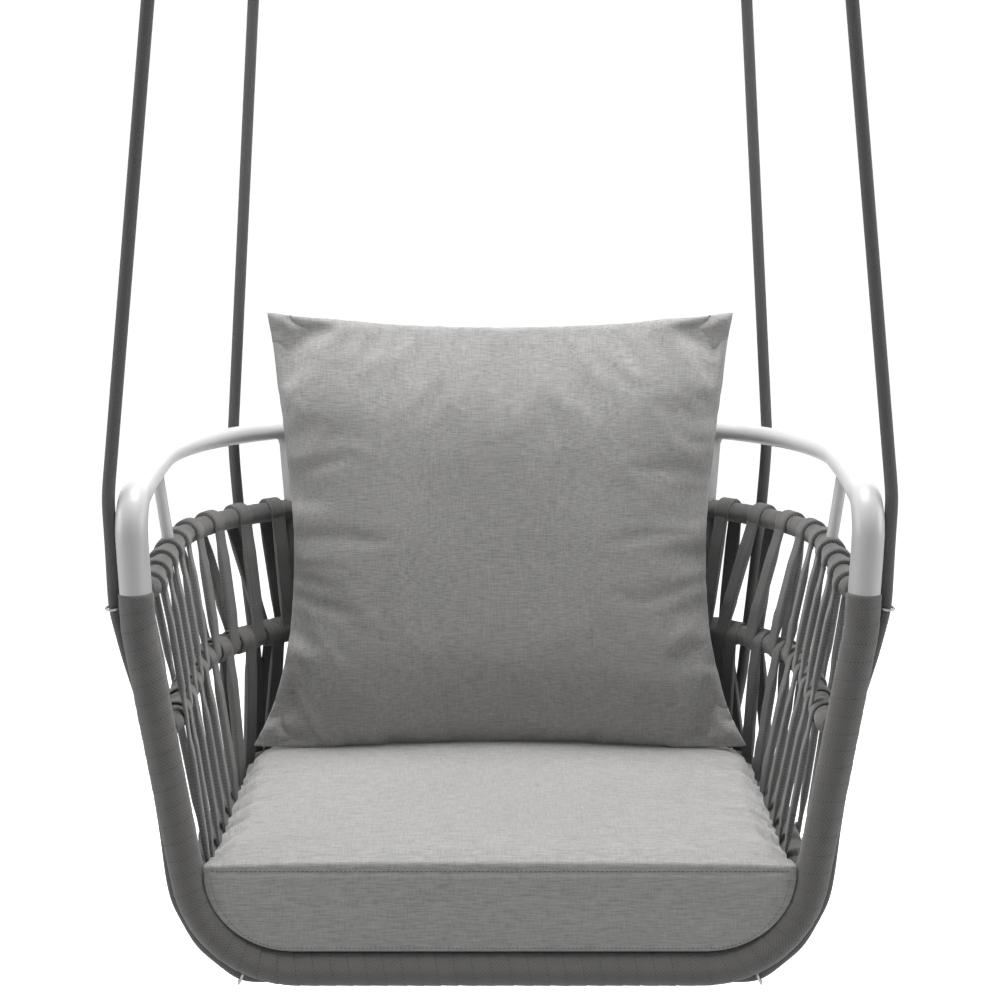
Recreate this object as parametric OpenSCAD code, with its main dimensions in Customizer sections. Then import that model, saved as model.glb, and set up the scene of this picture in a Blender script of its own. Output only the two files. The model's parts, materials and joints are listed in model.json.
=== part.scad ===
/* [Hanging] */
// Height of the swing pivots above the arm rail
hang_height = 735; // [700:5:760]
// Spacing of the front and rear pivots, front to back
hook_depth = 502; // [502]
// Half the spacing of the two front ceiling hooks
front_hook_x = 363; // [358:1:368]
// Half the spacing of the two rear ceiling hooks
rear_hook_x = 312; // [308:1:316]
// Diameter of the braided ropes
rope_d = 15; // [14:0.5:15]

/* [Frame tubes] */
// Outer diameter of the front hoop
hoop_d = 37; // [36:0.5:37]
// Outer diameter of the arm rail at its thin rear part
arm_rear_d = 24; // [22:1:25]
// Outer diameter of the upper and middle woven rails
rail_d = 22; // [20:1:22]
// Outer diameter of the seat rail
seat_rail_d = 25; // [24:0.5:25]
// Outer diameter of the arm posts and rear uprights
post_d = 15; // [14:0.5:15]
// Wall thickness of the frame tubes
wall = 2; // [1.5:0.5:2.5]

/* [Belt] */
// Width of the woven belt
belt_w = 21; // [20:0.5:21]
// Thickness of the woven belt
belt_t = 2.5; // [2:0.1:2.5]
// Thickness of the belt wound on the front hoop
hoop_belt_t = 1.5; // [1.2:0.1:1.5]

/* [Cushions] */
// Half the width of the seat cushion
seat_half_w = 340; // [338:0.5:340]
// Height of the seat cushion's side band
seat_cushion_h = 107; // [106:1:110]
// Width of the back pillow at mid height
pillow_w = 556; // [550:2:570]
// Height of the back pillow
pillow_h = 597; // [585:1:600]
// Thickness of the back pillow at its middle
pillow_t = 146; // [130:2:146]

/* [Hidden] */

eye_r = 15;                 // centreline radius of a ceiling eye
rod_d = 8;                  // rod of the ceiling eyes and carabiners
plate_w = 60;
plate_t = 4;
eye_drop = plate_t + 10 + eye_r;          // ceiling plane to the eye's lowest rod centre
ceiling = hang_height + eye_drop;         // ceiling plane above the arm rail
front_y = 10;                             // rope contact, behind the hoop's plane
rear_y = front_y + hook_depth;
front_contact_x = 444;
rear_contact_x = 361.5;
frame_shift = [0, -(front_y + rear_y) / 2, -ceiling];

// Heights below the arm rail's centreline
upper_z = -108;
middle_z = -270;
seat_z = -465;
hoop_z = -558;

// Plan of the arm rail: a nearly straight side, a corner and a bowed back, all tangent
side_len = 295;
side_turn = 4;
corner_x = 124;
corner_r = 300;
corner_turn = 50;
back_r = corner_r + corner_x / cos(corner_turn);
side_r = side_len / sin(side_turn);
side_x = corner_x + corner_r;
arm_plan = [
    [[side_x - side_r, side_len], side_r, -side_turn, 0],
    [[corner_x, side_len], corner_r, 0, corner_turn],
    [[0, side_len - (back_r - corner_r) * sin(corner_turn)], back_r, corner_turn, 90]
];

// Plan of the seat rail: straight sides and tighter rear corners
seat_side_x = 361;
seat_side_len = 430;
seat_corner_r = 150;
seat_corner_turn = 80;
seat_corner_x = seat_side_x - seat_corner_r;
seat_back_r = seat_corner_r + seat_corner_x / cos(seat_corner_turn);
seat_back_y = seat_side_len - (seat_back_r - seat_corner_r) * sin(seat_corner_turn);
straight_r = 40000;
seat_plan = [
    [[seat_side_x - straight_r, seat_side_len], straight_r,
        -asin(seat_side_len / straight_r), 0],
    [[seat_corner_x, seat_side_len], seat_corner_r, 0, seat_corner_turn],
    [[0, seat_back_y], seat_back_r, seat_corner_turn, 90]
];

// Plan of the seat cushion: its rear corners stay clear of the leaning belts
cushion_side_len = 400;
cushion_corner_r = 125;
cushion_corner_x = seat_half_w - cushion_corner_r;
cushion_back_r = cushion_corner_r + cushion_corner_x / cos(seat_corner_turn);
cushion_back_y = cushion_side_len - (cushion_back_r - cushion_corner_r) * sin(seat_corner_turn);
cushion_plan = [
    [[seat_half_w - straight_r, cushion_side_len], straight_r,
        -asin((cushion_side_len + 12) / straight_r), 0],
    [[cushion_corner_x, cushion_side_len], cushion_corner_r, 0, seat_corner_turn],
    [[0, cushion_back_y], cushion_back_r, seat_corner_turn, 90]
];

upper_inset = 13;
middle_inset = 35;

// Front hoop, right half: leg with one slight bend, bottom corner, flat bottom
leg_top_x = 418.5;
leg_bend_z = -150;
leg_lean_top = 2.5;
leg_lean = 9.3;
leg_bend_r = 600;
hoop_corner_r = 128;
arm_bend_r = 40;
leg_bend_x = leg_top_x + leg_bend_z * tan(leg_lean_top);
hoop_corner_z = hoop_z + hoop_corner_r;
leg_end_z = hoop_corner_z - hoop_corner_r * sin(leg_lean);
hoop_corner_x = leg_bend_x + (leg_end_z - leg_bend_z) * tan(leg_lean)
    - hoop_corner_r * cos(leg_lean);

strap_count = 14;                 // on each half, from the leg to the middle of the back
side_straps = 9;
first_strap = 45;
plan_len = plan_length(arm_plan);
pitch = (plan_len - first_strap) / (strap_count - 0.5);
upright_s = first_strap + (side_straps - 0.5) * pitch;
post_s = 240;

rail_wrap_r = rail_d / 2 + belt_t;
seat_wrap_r = seat_rail_d / 2 + belt_t;
hoop_wrap_r = hoop_d / 2 + hoop_belt_t;
fit_gap = 0.1;
strap_gap = 0.5;

tube_sides = 12;
hoop_sides = 12;
rope_sides = 10;

// Deck under the seat cushion
deck_corner_r = 95;
deck_corner_x = seat_half_w - deck_corner_r;
cushion_base_z = -534;
deck_corner_z = cushion_base_z + deck_corner_r;
deck_gap = 1;
rib_d = 16;
rib_y = [170, 340, 500];
cross_belt_y = [for (k = [0:7]) 52 + 68 * k];
length_belt_x = [for (k = [-3:3]) 76 * k];

// Routes of the two rope slings that carry the seat, right half, top to middle
front_route = [
    [443, 10, -8], [442, 10, -50], [440.5, 12, -127], [429, 21, -185], [414, 25, -240],
    [403, 25, -305], [391, 25, -400], [386, 24, -450], [381, 24, -482], [353, 19, -534],
    [304, 9, -571], [262, 21, -576], [225, 28, -568], [150, 30, -562], [0, 30, -562]
];
rear_route = [
    [361.5, 512, -8], [360, 511, -45], [355, 507, -108], [347, 500, -190],
    [338, 492, -270], [335, 518, -340], [328, 546, -405], [320, 569, -465],
    [316, 571, -500], [305, 566, -530], [285, 559, -549], [250, 552, -558],
    [150, 546, -560], [0, 544, -560]
];

steel = "silver";
white = "whitesmoke";
belt = [0.33, 0.32, 0.31];
cloth = [0.64, 0.64, 0.62];
foam = [0.93, 0.9, 0.8];

// ---- vectors, plans and paths ----
function unit(v) = v / norm(v);
function mirrored(p) = [-p[0], p[1], p[2]];
function reversed(list) = [for (i = [len(list) - 1:-1:0]) list[i]];
function both_sides(half) =
    concat(half, [for (i = [len(half) - 2:-1:0]) mirrored(half[i])]);
function radians(a) = a * PI / 180;

function arc_length(arc) = arc[1] * radians(arc[3] - arc[2]);
function plan_length(plan) =
    arc_length(plan[0]) + arc_length(plan[1]) + arc_length(plan[2]);
function plan_at(plan, s, inset, k = 0) =
    k < 2 && s > arc_length(plan[k])
        ? plan_at(plan, s - arc_length(plan[k]), inset, k + 1)
        : let (arc = plan[k], a = arc[2] + s / arc[1] * 180 / PI)
            [for (i = [0, 1]) arc[0][i] + (arc[1] - inset) * (i == 0 ? cos(a) : sin(a))];
function plan_normal(plan, s, k = 0) =
    k < 2 && s > arc_length(plan[k])
        ? plan_normal(plan, s - arc_length(plan[k]), k + 1)
        : let (a = plan[k][2] + s / plan[k][1] * 180 / PI) [cos(a), sin(a), 0];
// A point at station s along the whole rail: past the middle it is on the left side
function rail_point(plan, s, inset, z, out = 0) =
    let (len_half = plan_length(plan), t = s > len_half ? 2 * len_half - s : s,
        p = plan_at(plan, t, inset) + out * [plan_normal(plan, t)[0], plan_normal(plan, t)[1]])
        [s > len_half ? -p[0] : p[0], p[1], z];
function rail_path(plan, inset, z, from, counts, root = []) =
    both_sides(concat(root,
        [for (k = [0:2], i = [0:counts[k] - 1])
            let (arc = plan[k], low = k == 0 ? from : arc[2],
                a = low + (arc[3] - low) * i / counts[k])
                [arc[0][0] + (arc[1] - inset) * cos(a), arc[0][1] + (arc[1] - inset) * sin(a), z]],
        [[0, plan[2][0][1] + plan[2][1] - inset, z]]));

function catmull(a, b, c, d, t) =
    0.5 * (2 * b + (c - a) * t + (2 * a - 5 * b + 4 * c - d) * t * t
        + (3 * b - a - 3 * c + d) * t * t * t);
function smoothed(p, steps) = concat(
    [for (i = [0:len(p) - 2], j = [0:steps - 1])
        catmull(p[max(i - 1, 0)], p[i], p[i + 1], p[min(i + 2, len(p) - 1)], j / steps)],
    [p[len(p) - 1]]);

function tangent(p, i) = unit(p[min(i + 1, len(p) - 1)] - p[max(i - 1, 0)]);
function ring(p, i, r, sides, ref) =
    let (t = tangent(p, i), u = unit(cross(ref, t)), v = cross(t, u))
        [for (j = [0:sides - 1])
            p[i] + r * (cos(360 * j / sides) * u + sin(360 * j / sides) * v)];
function skin(n, sides, start, flip) =
    [for (i = [0:n - 2], j = [0:sides - 1])
        let (a = start + i * sides + j, b = start + i * sides + (j + 1) % sides,
            c = b + sides, d = a + sides)
            each flip ? [[a, c, b], [a, d, c]] : [[a, b, c], [a, c, d]]];

// A solid round bar along a path, with its own radius at every point
module bar(p, r, sides, ref) {
    n = len(p);
    polyhedron(
        points = [for (i = [0:n - 1]) each ring(p, i, r[i], sides, ref)],
        faces = concat(
            skin(n, sides, 0, false),
            [[for (j = [sides - 1:-1:0]) j]],
            [[for (j = [0:sides - 1]) (n - 1) * sides + j]]));
}

// A tube along a path, from its inner to its outer radii
module tube(p, inner, outer, sides, ref) {
    n = len(p);
    skip = n * sides;
    ends = [[0, 1], [n - 1, -1]];
    polyhedron(
        points = concat(
            [for (i = [0:n - 1]) each ring(p, i, outer[i], sides, ref)],
            [for (i = [0:n - 1]) each ring(p, i, inner[i], sides, ref)]),
        faces = concat(
            skin(n, sides, 0, false),
            skin(n, sides, skip, true),
            [for (e = ends, j = [0:sides - 1])
                let (a = e[0] * sides + j, b = e[0] * sides + (j + 1) % sides)
                    each e[1] > 0
                        ? [[a, b + skip, b], [a, a + skip, b + skip]]
                        : [[a, b, b + skip], [a, b + skip, a + skip]]]));
}

module even_tube(p, inner, outer, sides, ref) {
    tube(p, [for (q = p) inner], [for (q = p) outer], sides, ref);
}

module in_seat() {
    translate(frame_shift) children();
}

up = [0, 0, 1];
across = [0, 1, 0];

// ---- ceiling hardware ----
module ceiling_plate(x, y) {
    hole_at = 22;
    hole_d = 6.4;
    color(steel) translate([x, y, -plate_t]) difference() {
        translate([-plate_w / 2, -plate_w / 2, 0]) cube([plate_w, plate_w, plate_t]);
        for (i = [-1, 1], j = [-1, 1])
            translate([i * hole_at, j * hole_at, -1]) cylinder(d = hole_d, h = plate_t + 2, $fn = 48);
    }
}

module ceiling_eye() {
    translate([0, 0, -plate_t - 10]) {
        rotate([90, 0, 0]) rotate([0, 0, 180]) rotate_extrude(angle = 180, $fn = 64)
            translate([eye_r, 0]) circle(d = rod_d, $fn = 24);
        for (i = [-1, 1])
            translate([i * eye_r, 0, 0]) cylinder(d = rod_d, h = 10, $fn = 24);
    }
}

module ceiling_eyes() {
    color(steel) for (i = [-1, 1]) {
        translate([i * front_hook_x, -hook_depth / 2, 0]) ceiling_eye();
        translate([i * rear_hook_x, hook_depth / 2, 0]) ceiling_eye();
    }
}

// ---- what hangs from one ceiling eye; z = 0 is the pivot, at the eye's lowest rod ----
bow_r = 14;
bow_len = 36;
bow_lift = 8.8;                            // carabiner rod above the eye's rod
top_bow_z = bow_lift - bow_r;
low_bow_z = top_bow_z - bow_len;
gate_low_z = low_bow_z + 4;
gate_len = 27;
gate_d = 7;
thimble_hole_r = 18;
thimble_z = low_bow_z - bow_r + 6.5 - thimble_hole_r;
eye_loop_r = thimble_hole_r + 2 + rope_d / 2;
ferrule_len = 26;
ferrule_z = thimble_z - 52;                // top of the ferrule
rope_top_z = ferrule_z - ferrule_len + 8;
leg_gap = rope_d / 2 + 0.1;

module carabiner() {
    for (end = [0, 1])
        translate([0, 0, end == 0 ? top_bow_z : low_bow_z])
            rotate([0, 90, 0]) rotate([0, 0, end == 0 ? 90 : -90])
                rotate_extrude(angle = 180, $fn = 64)
                    translate([bow_r, 0]) circle(d = rod_d, $fn = 24);
    translate([0, bow_r, low_bow_z]) cylinder(d = rod_d, h = bow_len, $fn = 24);
    difference() {
        union() {
            translate([0, -bow_r, low_bow_z]) cylinder(d = rod_d, h = gate_low_z - low_bow_z + 3, $fn = 24);
            translate([0, -bow_r, gate_low_z + gate_len + 1])
                cylinder(d = rod_d, h = top_bow_z - gate_low_z - gate_len - 1, $fn = 24);
        }
        translate([-1.7, -bow_r - rod_d, gate_low_z - 3.2]) cube([3.4, 2 * rod_d, 8]);
        translate([-rod_d, -bow_r, gate_low_z]) rotate([0, 90, 0]) cylinder(d = 2.4, h = 2 * rod_d, $fn = 32);
    }
}

module gate_pin() {
    translate([-rod_d / 2 - 0.3, -bow_r, gate_low_z]) rotate([0, 90, 0])
        cylinder(d = 2.36, h = rod_d + 0.6, $fn = 32);
}

// The gate turns on its pin and closes against the carabiner's nose
module gate() {
    difference() {
        union() {
            translate([0, -bow_r, gate_low_z + 4.5]) cylinder(d = gate_d, h = gate_len - 4, $fn = 24);
            translate([-1.5, -bow_r - 2.4, gate_low_z]) cube([3, 4.8, 6]);
            translate([-1.5, -bow_r, gate_low_z]) rotate([0, 90, 0]) cylinder(d = 4.8, h = 3, $fn = 32);
        }
        translate([-5, -bow_r, gate_low_z]) rotate([0, 90, 0]) cylinder(d = 2.44, h = 10, $fn = 32);
    }
}

module thimble() {
    translate([0, 0, thimble_z]) rotate([90, 0, 0]) rotate_extrude($fn = 64)
        translate([thimble_hole_r, 0]) polygon([
            [0, -7], [4.5, -10], [4.5, -8.4], [2, -6], [2, 6], [4.5, 8.4], [4.5, 10], [0, 7]]);
}

function eye_path() =
    let (leg_drop = ferrule_z - 4 - thimble_z, open_a = 30)
        concat(
            [[leg_gap, 0, leg_drop], [leg_gap + 0.4, 0, leg_drop + 9], [14, 0, -38]],
            [for (i = [0:14]) let (a = -open_a + (180 + 2 * open_a) * i / 14)
                [eye_loop_r * cos(a), 0, eye_loop_r * sin(a)]],
            [[-14, 0, -38], [-leg_gap - 0.4, 0, leg_drop + 9], [-leg_gap, 0, leg_drop]]);

module rope_eye() {
    p = [for (q = eye_path()) q + [0, 0, thimble_z]];
    bar(p, [for (q = p) rope_d / 2], 8, across);
}

module ferrule() {
    wide = 2 * rope_d + 5;
    deep = rope_d + 5;
    translate([0, 0, ferrule_z - ferrule_len]) difference() {
        linear_extrude(ferrule_len) offset(r = deep / 2 - 1, $fn = 24)
            square([wide - deep + 2, 2], center = true);
        translate([0, 0, ferrule_len - 8]) for (i = [-1, 1])
            translate([i * leg_gap, 0, 0]) cylinder(d = rope_d + 0.6, h = 9, $fn = 24);
        translate([0, 0, -1]) cylinder(d = rope_d + 0.6, h = 12, $fn = 24);
    }
}

// Places children at a hook, turned so that -z points down its leaning rope
module at_hook(hook_x, contact_x, y, side) {
    lean = atan((contact_x - hook_x) / hang_height);
    translate([side * hook_x, y, -eye_drop]) rotate([0, -side * lean, 0]) children();
}

module at_front(side) {
    at_hook(front_hook_x, front_contact_x, -hook_depth / 2, side) children();
}

module at_rear(side) {
    at_hook(rear_hook_x, rear_contact_x, hook_depth / 2, side) children();
}

module front_pair() {
    for (side = [-1, 1]) at_front(side) children();
}

module rear_pair() {
    for (side = [-1, 1]) at_rear(side) children();
}

// Upper rope span, from the ferrule to a round end at the arm rail
module rope_span(hook_x, contact_x) {
    span = norm([contact_x - hook_x, hang_height]);
    r = rope_d / 2;
    low = -span;
    straight = [for (i = [0:19]) [0, 0, rope_top_z + (low - rope_top_z) * i / 19]];
    dome = [for (a = [30, 55, 75]) [0, 0, low - r * sin(a)]];
    bar(reversed(concat(straight, dome)),
        reversed(concat([for (q = straight) r], [for (a = [30, 55, 75]) r * cos(a)])),
        rope_sides, across);
}

// ---- frame ----
leg_arc = [for (i = [0:3]) let (a = leg_lean_top + (leg_lean - leg_lean_top) * i / 3) a];
leg_turn = leg_bend_r * tan((leg_lean - leg_lean_top) / 2);
bend_start = [leg_bend_x + leg_turn * sin(leg_lean_top), leg_bend_z + leg_turn * cos(leg_lean_top)];
bend_centre = bend_start - leg_bend_r * [cos(leg_lean_top), -sin(leg_lean_top)];
hoop_lower = concat(
    [for (a = leg_arc) [bend_centre[0] + leg_bend_r * cos(a), 0, bend_centre[1] - leg_bend_r * sin(a)]],
    [for (i = [0:9]) let (a = leg_lean + (90 - leg_lean) * i / 9)
        [hoop_corner_x + hoop_corner_r * cos(a), 0, hoop_corner_z - hoop_corner_r * sin(a)]],
    [[0, 0, hoop_z]]);
wrap_top_z = -107;
wrap_top = [leg_top_x + wrap_top_z * tan(leg_lean_top), 0, wrap_top_z];
arm_start = arm_bend_r + 4;
leg_top = [for (i = [0:6]) let (a = 90 * i / 6)
    [leg_top_x - 1.9, arm_bend_r - arm_bend_r * cos(a), arm_bend_r * (sin(a) - 1)]];

module front_hoop() {
    p = both_sides(concat([wrap_top + [1.5, 0, 35]], [wrap_top], hoop_lower));
    color(white) in_seat() even_tube(p, hoop_d / 2 - wall, hoop_d / 2, hoop_sides, across);
}

module hoop_wrap() {
    p = both_sides(concat([wrap_top], hoop_lower));
    color(belt) in_seat()
        even_tube(p, hoop_d / 2 + fit_gap, hoop_wrap_r, hoop_sides, across);
}

// The arm rail rises from the legs, turns back and tapers towards the rear
arm_taper = [[0, 37], [145, 32], [300, 28], [420, 25], [480, arm_rear_d], [2000, arm_rear_d]];
module arm_rail() {
    rail = rail_path(arm_plan, 0, 0, -side_turn + asin((arm_start + 12) / side_r), [5, 8, 5]);
    half_n = (len(rail) - 1) / 2;
    half = concat([wrap_top + [1.6, 0, 35.2]], leg_top, [for (i = [0:half_n]) rail[i]]);
    p = both_sides(half);
    r = [for (q = p) lookup(max(q[1], 0), arm_taper) / 2];
    color(white) in_seat() tube(p, [for (q = r) q - wall], r, tube_sides, [1, 0.3, 0.2]);
}

module woven_rail(plan, inset, z, inner, outer, from) {
    in_seat() even_tube(rail_path(plan, inset, z, from, [2, 7, 6]), inner, outer, tube_sides, up);
}

// The upper and middle rails leave the middle of the leg and then join the plan
function leg_x(z) = z > leg_bend_z
    ? leg_top_x + z * tan(leg_lean_top)
    : leg_bend_x + (z - leg_bend_z) * tan(leg_lean);
rail_root_y = 9;
rail_join_y = 34;
rail_from = -side_turn + asin((rail_join_y + side_len - side_r * sin(side_turn)) / side_r);
module wall_rail(inset, z, inner, outer, root_y) {
    joined = rail_path(arm_plan, inset, z, rail_from, [2, 7, 6])[0];
    share = (root_y - rail_root_y) / (joined[1] - rail_root_y);
    root = [[leg_x(z) + (joined[0] - leg_x(z)) * share, root_y, z]];
    in_seat() even_tube(rail_path(arm_plan, inset, z, rail_from, [2, 7, 6], root),
        inner, outer, tube_sides, up);
}

seat_from = -asin((seat_side_len - 12) / straight_r);
seat_wrap_from = -asin((seat_side_len - 24) / straight_r);

module upper_rail() {
    color(white) wall_rail(upper_inset, upper_z, rail_d / 2 - wall, rail_d / 2, rail_root_y);
}

module middle_rail() {
    color(white) wall_rail(middle_inset, middle_z, rail_d / 2 - wall, rail_d / 2, rail_root_y);
}

module seat_rail() {
    color(white) woven_rail(seat_plan, 0, seat_z, seat_rail_d / 2 - wall, seat_rail_d / 2, seat_from);
}

module upper_rail_wrap() {
    color(belt) wall_rail(upper_inset, upper_z, rail_d / 2 + fit_gap, rail_wrap_r, 23);
}

module middle_rail_wrap() {
    color(belt) wall_rail(middle_inset, middle_z, rail_d / 2 + fit_gap, rail_wrap_r, 23);
}

module seat_rail_wrap() {
    color(belt) woven_rail(seat_plan, 0, seat_z, seat_rail_d / 2 + fit_gap, seat_wrap_r, seat_wrap_from);
}

// Points of the wall at station s of the arm plan, at the three rails
seat_share = plan_length(seat_plan) / plan_len;
function wall_upper(s, out) = rail_point(arm_plan, s, upper_inset, upper_z, out);
function wall_middle(s, out) = rail_point(arm_plan, s, middle_inset, middle_z, out);
function wall_seat(s, out) = rail_point(seat_plan, s * seat_share, 0, seat_z, out);

module straight_tube(a, b, inner, outer) {
    tube([a, b], [inner, inner], [outer, outer], tube_sides, across);
}

module arm_posts() {
    color(white) in_seat() for (s = [post_s, upright_s], side = [1, -1]) {
        a = rail_point(arm_plan, s, 0, -5);
        b = wall_upper(s, 0) + [0, 0, 4];
        straight_tube(side > 0 ? a : mirrored(a), side > 0 ? b : mirrored(b),
            post_d / 2 - wall, post_d / 2);
    }
}

module upright_pair(inner, outer, trim) {
    a = wall_upper(upright_s, 0) - [0, 0, trim];
    b = wall_middle(upright_s, 0) + [0, 0, trim];
    c = wall_middle(upright_s, 0) - [0, 0, trim];
    d = wall_seat(upright_s, 0) + [0, 0, trim];
    for (ends = [[a, b], [c, d], [mirrored(a), mirrored(b)], [mirrored(c), mirrored(d)]])
        straight_tube(ends[0], ends[1], inner, outer);
}

module rear_uprights() {
    color(white) in_seat() upright_pair(post_d / 2 - wall, post_d / 2, 4);
}

module upright_wrap() {
    color(belt) in_seat() upright_pair(post_d / 2 + fit_gap, post_d / 2 + belt_t, 17);
}

// U-shaped ribs that carry the deck between the side rails
module seat_ribs() {
    rib_r = deck_corner_r + deck_gap + 2 * belt_t + 0.4 + rib_d / 2;
    half = concat(
        [[seat_side_x - 4, 0, seat_z]],
        [for (i = [0:4]) let (a = 20 + 70 * i / 4)
            [deck_corner_x + rib_r * cos(a), 0, deck_corner_z - rib_r * sin(a)]],
        [[0, 0, deck_corner_z - rib_r]]);
    color(white) in_seat() for (y = rib_y) {
        side_x = y > seat_side_len ? -10 : 0;
        p = both_sides([for (q = half) q + [q[0] > 200 ? side_x : 0, y, 0]]);
        even_tube(p, rib_d / 2 - wall, rib_d / 2, 8, across);
    }
}

// ---- woven belts ----
// A flat belt from a to b, its width along the direction given
module strap(a, b, along) {
    w = unit(b - a);
    x = unit(along - (along * w) * w);
    y = cross(w, x);
    translate(a) multmatrix([
        [x[0], y[0], w[0], 0], [x[1], y[1], w[1], 0], [x[2], y[2], w[2], 0], [0, 0, 0, 1]])
        translate([-belt_w / 2, -belt_t / 2, 0]) cube([belt_w, belt_t, norm(b - a)]);
}

function along_rail(s) = unit(wall_middle(s + 5, 0) - wall_middle(s - 5, 0));

// A two-panel strap: one piece from the upper to the middle rail, one down to the seat rail
module wall_strap(s, out_sign, top_shift, slant, low_shift) {
    r = rail_wrap_r + belt_t / 2 + strap_gap;
    low_r = seat_wrap_r + belt_t / 2 + strap_gap;
    s0 = s + top_shift;
    s1 = s0 + slant;
    s2 = s1 + low_shift;
    s3 = s2 + slant;
    strap(wall_middle(s1, out_sign * r), wall_upper(s0, out_sign * r), along_rail(s0));
    strap(wall_seat(s3, out_sign * low_r), wall_middle(s2, out_sign * r) - [0, 0, 3], along_rail(s2));
}

side_stations = [for (k = [0:side_straps - 1]) first_strap + k * pitch];
back_stations = [for (k = [side_straps:2 * strap_count - side_straps - 1]) first_strap + k * pitch];
left_stations = [for (s = side_stations) 2 * plan_len - s];
lean_back = 43;

module inner_straps_right() {
    color(belt) in_seat() for (s = side_stations)
        wall_strap(s, -1, 0, min(lean_back, upright_s - 20 - s), -belt_w);
}

module outer_straps_right() {
    color(belt) in_seat() for (s = side_stations)
        wall_strap(s, 1, 0, 0, 0);
}

module inner_straps_left() {
    color(belt) in_seat() for (s = left_stations)
        wall_strap(s, -1, 0, 0, s < 2 * plan_len - first_strap - 1 ? belt_w : 0);
}

module outer_straps_left() {
    color(belt) in_seat() for (s = left_stations)
        wall_strap(s, 1, 0, -min(lean_back, s - 2 * plan_len + upright_s - 20), belt_w);
}

module inner_straps_back() {
    color(belt) in_seat() for (s = back_stations) wall_strap(s, -1, 0, 0, 0);
}

module outer_straps_back() {
    color(belt) in_seat() for (s = back_stations)
        wall_strap(s, 1, belt_w, -min(lean_back, s - upright_s - 20 + belt_w), belt_w);
}

// Cross belts hang in a U between the side rails
module deck_cross_belts() {
    inner_r = deck_corner_r + deck_gap;
    outer_r = inner_r + belt_t;
    arc_a = [for (i = [0:8]) 14 + 76 * i / 8];
    inner_half = [for (a = arc_a) [deck_corner_x + inner_r * cos(a), deck_corner_z - inner_r * sin(a)]];
    outer_half = [for (a = arc_a) [deck_corner_x + outer_r * cos(a), deck_corner_z - outer_r * sin(a)]];
    outline = concat(
        inner_half, [for (q = reversed(inner_half)) [-q[0], q[1]]],
        [for (q = outer_half) [-q[0], q[1]]], reversed(outer_half));
    color(belt) in_seat() for (y = cross_belt_y) if (y < seat_side_len)
        translate([0, y + belt_w / 2, 0]) rotate([90, 0, 0]) linear_extrude(belt_w) polygon(outline);
    else
        translate([-deck_corner_x, y - belt_w / 2, cushion_base_z - deck_gap - belt_t])
            cube([2 * deck_corner_x, belt_w, belt_t]);
}

// Length belts run under the cross belts, from the hoop back and up to the seat rail
module deck_length_belts() {
    top_z = cushion_base_z - deck_gap - belt_t - 0.2;
    turn_r = 10;
    color(belt) in_seat() for (x = length_belt_x) {
        edge = seat_back_y + sqrt(pow(seat_back_r - seat_wrap_r - belt_t - 0.6, 2) - pow(abs(x) + belt_w / 2, 2));
        arc_a = [for (i = [0:6]) 90 * i / 6];
        upper = [for (a = arc_a) [edge - turn_r + turn_r * sin(a), top_z + turn_r - turn_r * cos(a)]];
        lower = [for (a = arc_a) [edge - turn_r + (turn_r + belt_t) * sin(a),
            top_z + turn_r - (turn_r + belt_t) * cos(a)]];
        translate([x - belt_w / 2, 0, 0]) rotate([90, 0, 90]) linear_extrude(belt_w)
            polygon(concat([[hoop_wrap_r + 0.5, top_z]], upper, [[edge, seat_z - 6]],
                [[edge + belt_t, seat_z - 6]], reversed(lower), [[hoop_wrap_r + 0.5, top_z - belt_t]]));
    }
}

// ---- rope rings and slings ----
ring_wire = 3;
ring_r = 9.9;
module rope_ring(at, dir) {
    u = unit(cross(dir, abs(dir * across) > 0.8 ? up : across));
    v = cross(dir, u);
    multmatrix([
        [u[0], v[0], dir[0], at[0]], [u[1], v[1], dir[1], at[1]], [u[2], v[2], dir[2], at[2]],
        [0, 0, 0, 1]])
        rotate_extrude($fn = 12) translate([ring_r, 0]) circle(d = ring_wire, $fn = 6);
}

module ring_pair(route, i) {
    dir = unit(route[i + 1] - route[i - 1]);
    rope_ring(route[i], dir);
    rope_ring(mirrored(route[i]), [-dir[0], dir[1], dir[2]]);
}

module upper_rope_rings() {
    color(steel) in_seat() ring_pair(front_route, 2);
}

module lower_rope_rings() {
    color(steel) in_seat() ring_pair(front_route, 10);
}

module rear_rope_rings() {
    color(steel) in_seat() ring_pair(rear_route, 7);
}

module sling(route, steps) {
    p = both_sides(smoothed(route, steps));
    bar(p, [for (i = [0:len(p) - 1]) min(i, len(p) - 1 - i) == 0 ? rope_d / 2 - 1.5 : rope_d / 2],
        rope_sides, across);
}

module front_sling() {
    color(belt) in_seat() sling(front_route, 2);
}

module rear_sling() {
    color(belt) in_seat() sling(rear_route, 2);
}

// ---- cushions ----
cover_t = 1.5;
module seat_profile(shrink) {
    h = seat_cushion_h;
    low = cushion_base_z + shrink;
    r = deck_corner_r - shrink;
    arc_a = [for (i = [0:6]) 90 * i / 6];
    half = concat(
        [[seat_half_w - 10, cushion_base_z + h - shrink],
            [seat_half_w - 3 - shrink, cushion_base_z + h - 3 - shrink],
            [seat_half_w - shrink, cushion_base_z + h - 9 - shrink]],
        [for (a = arc_a) [deck_corner_x + r * cos(a), low + r - r * sin(a)]]);
    polygon(concat(half, [for (q = reversed(half)) [-q[0], q[1]]]));
}

module seat_solid(shrink) {
    front_turn = -asin((cushion_side_len + 12 - shrink) / straight_r);
    edge = rail_path(cushion_plan, shrink, 0, front_turn, [1, 6, 5]);
    intersection() {
        translate([0, 640, 0]) rotate([90, 0, 0]) linear_extrude(700) seat_profile(shrink);
        translate([0, 0, cushion_base_z - 50]) linear_extrude(250)
            polygon([for (q = edge) [q[0], q[1]]]);
    }
}

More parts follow.
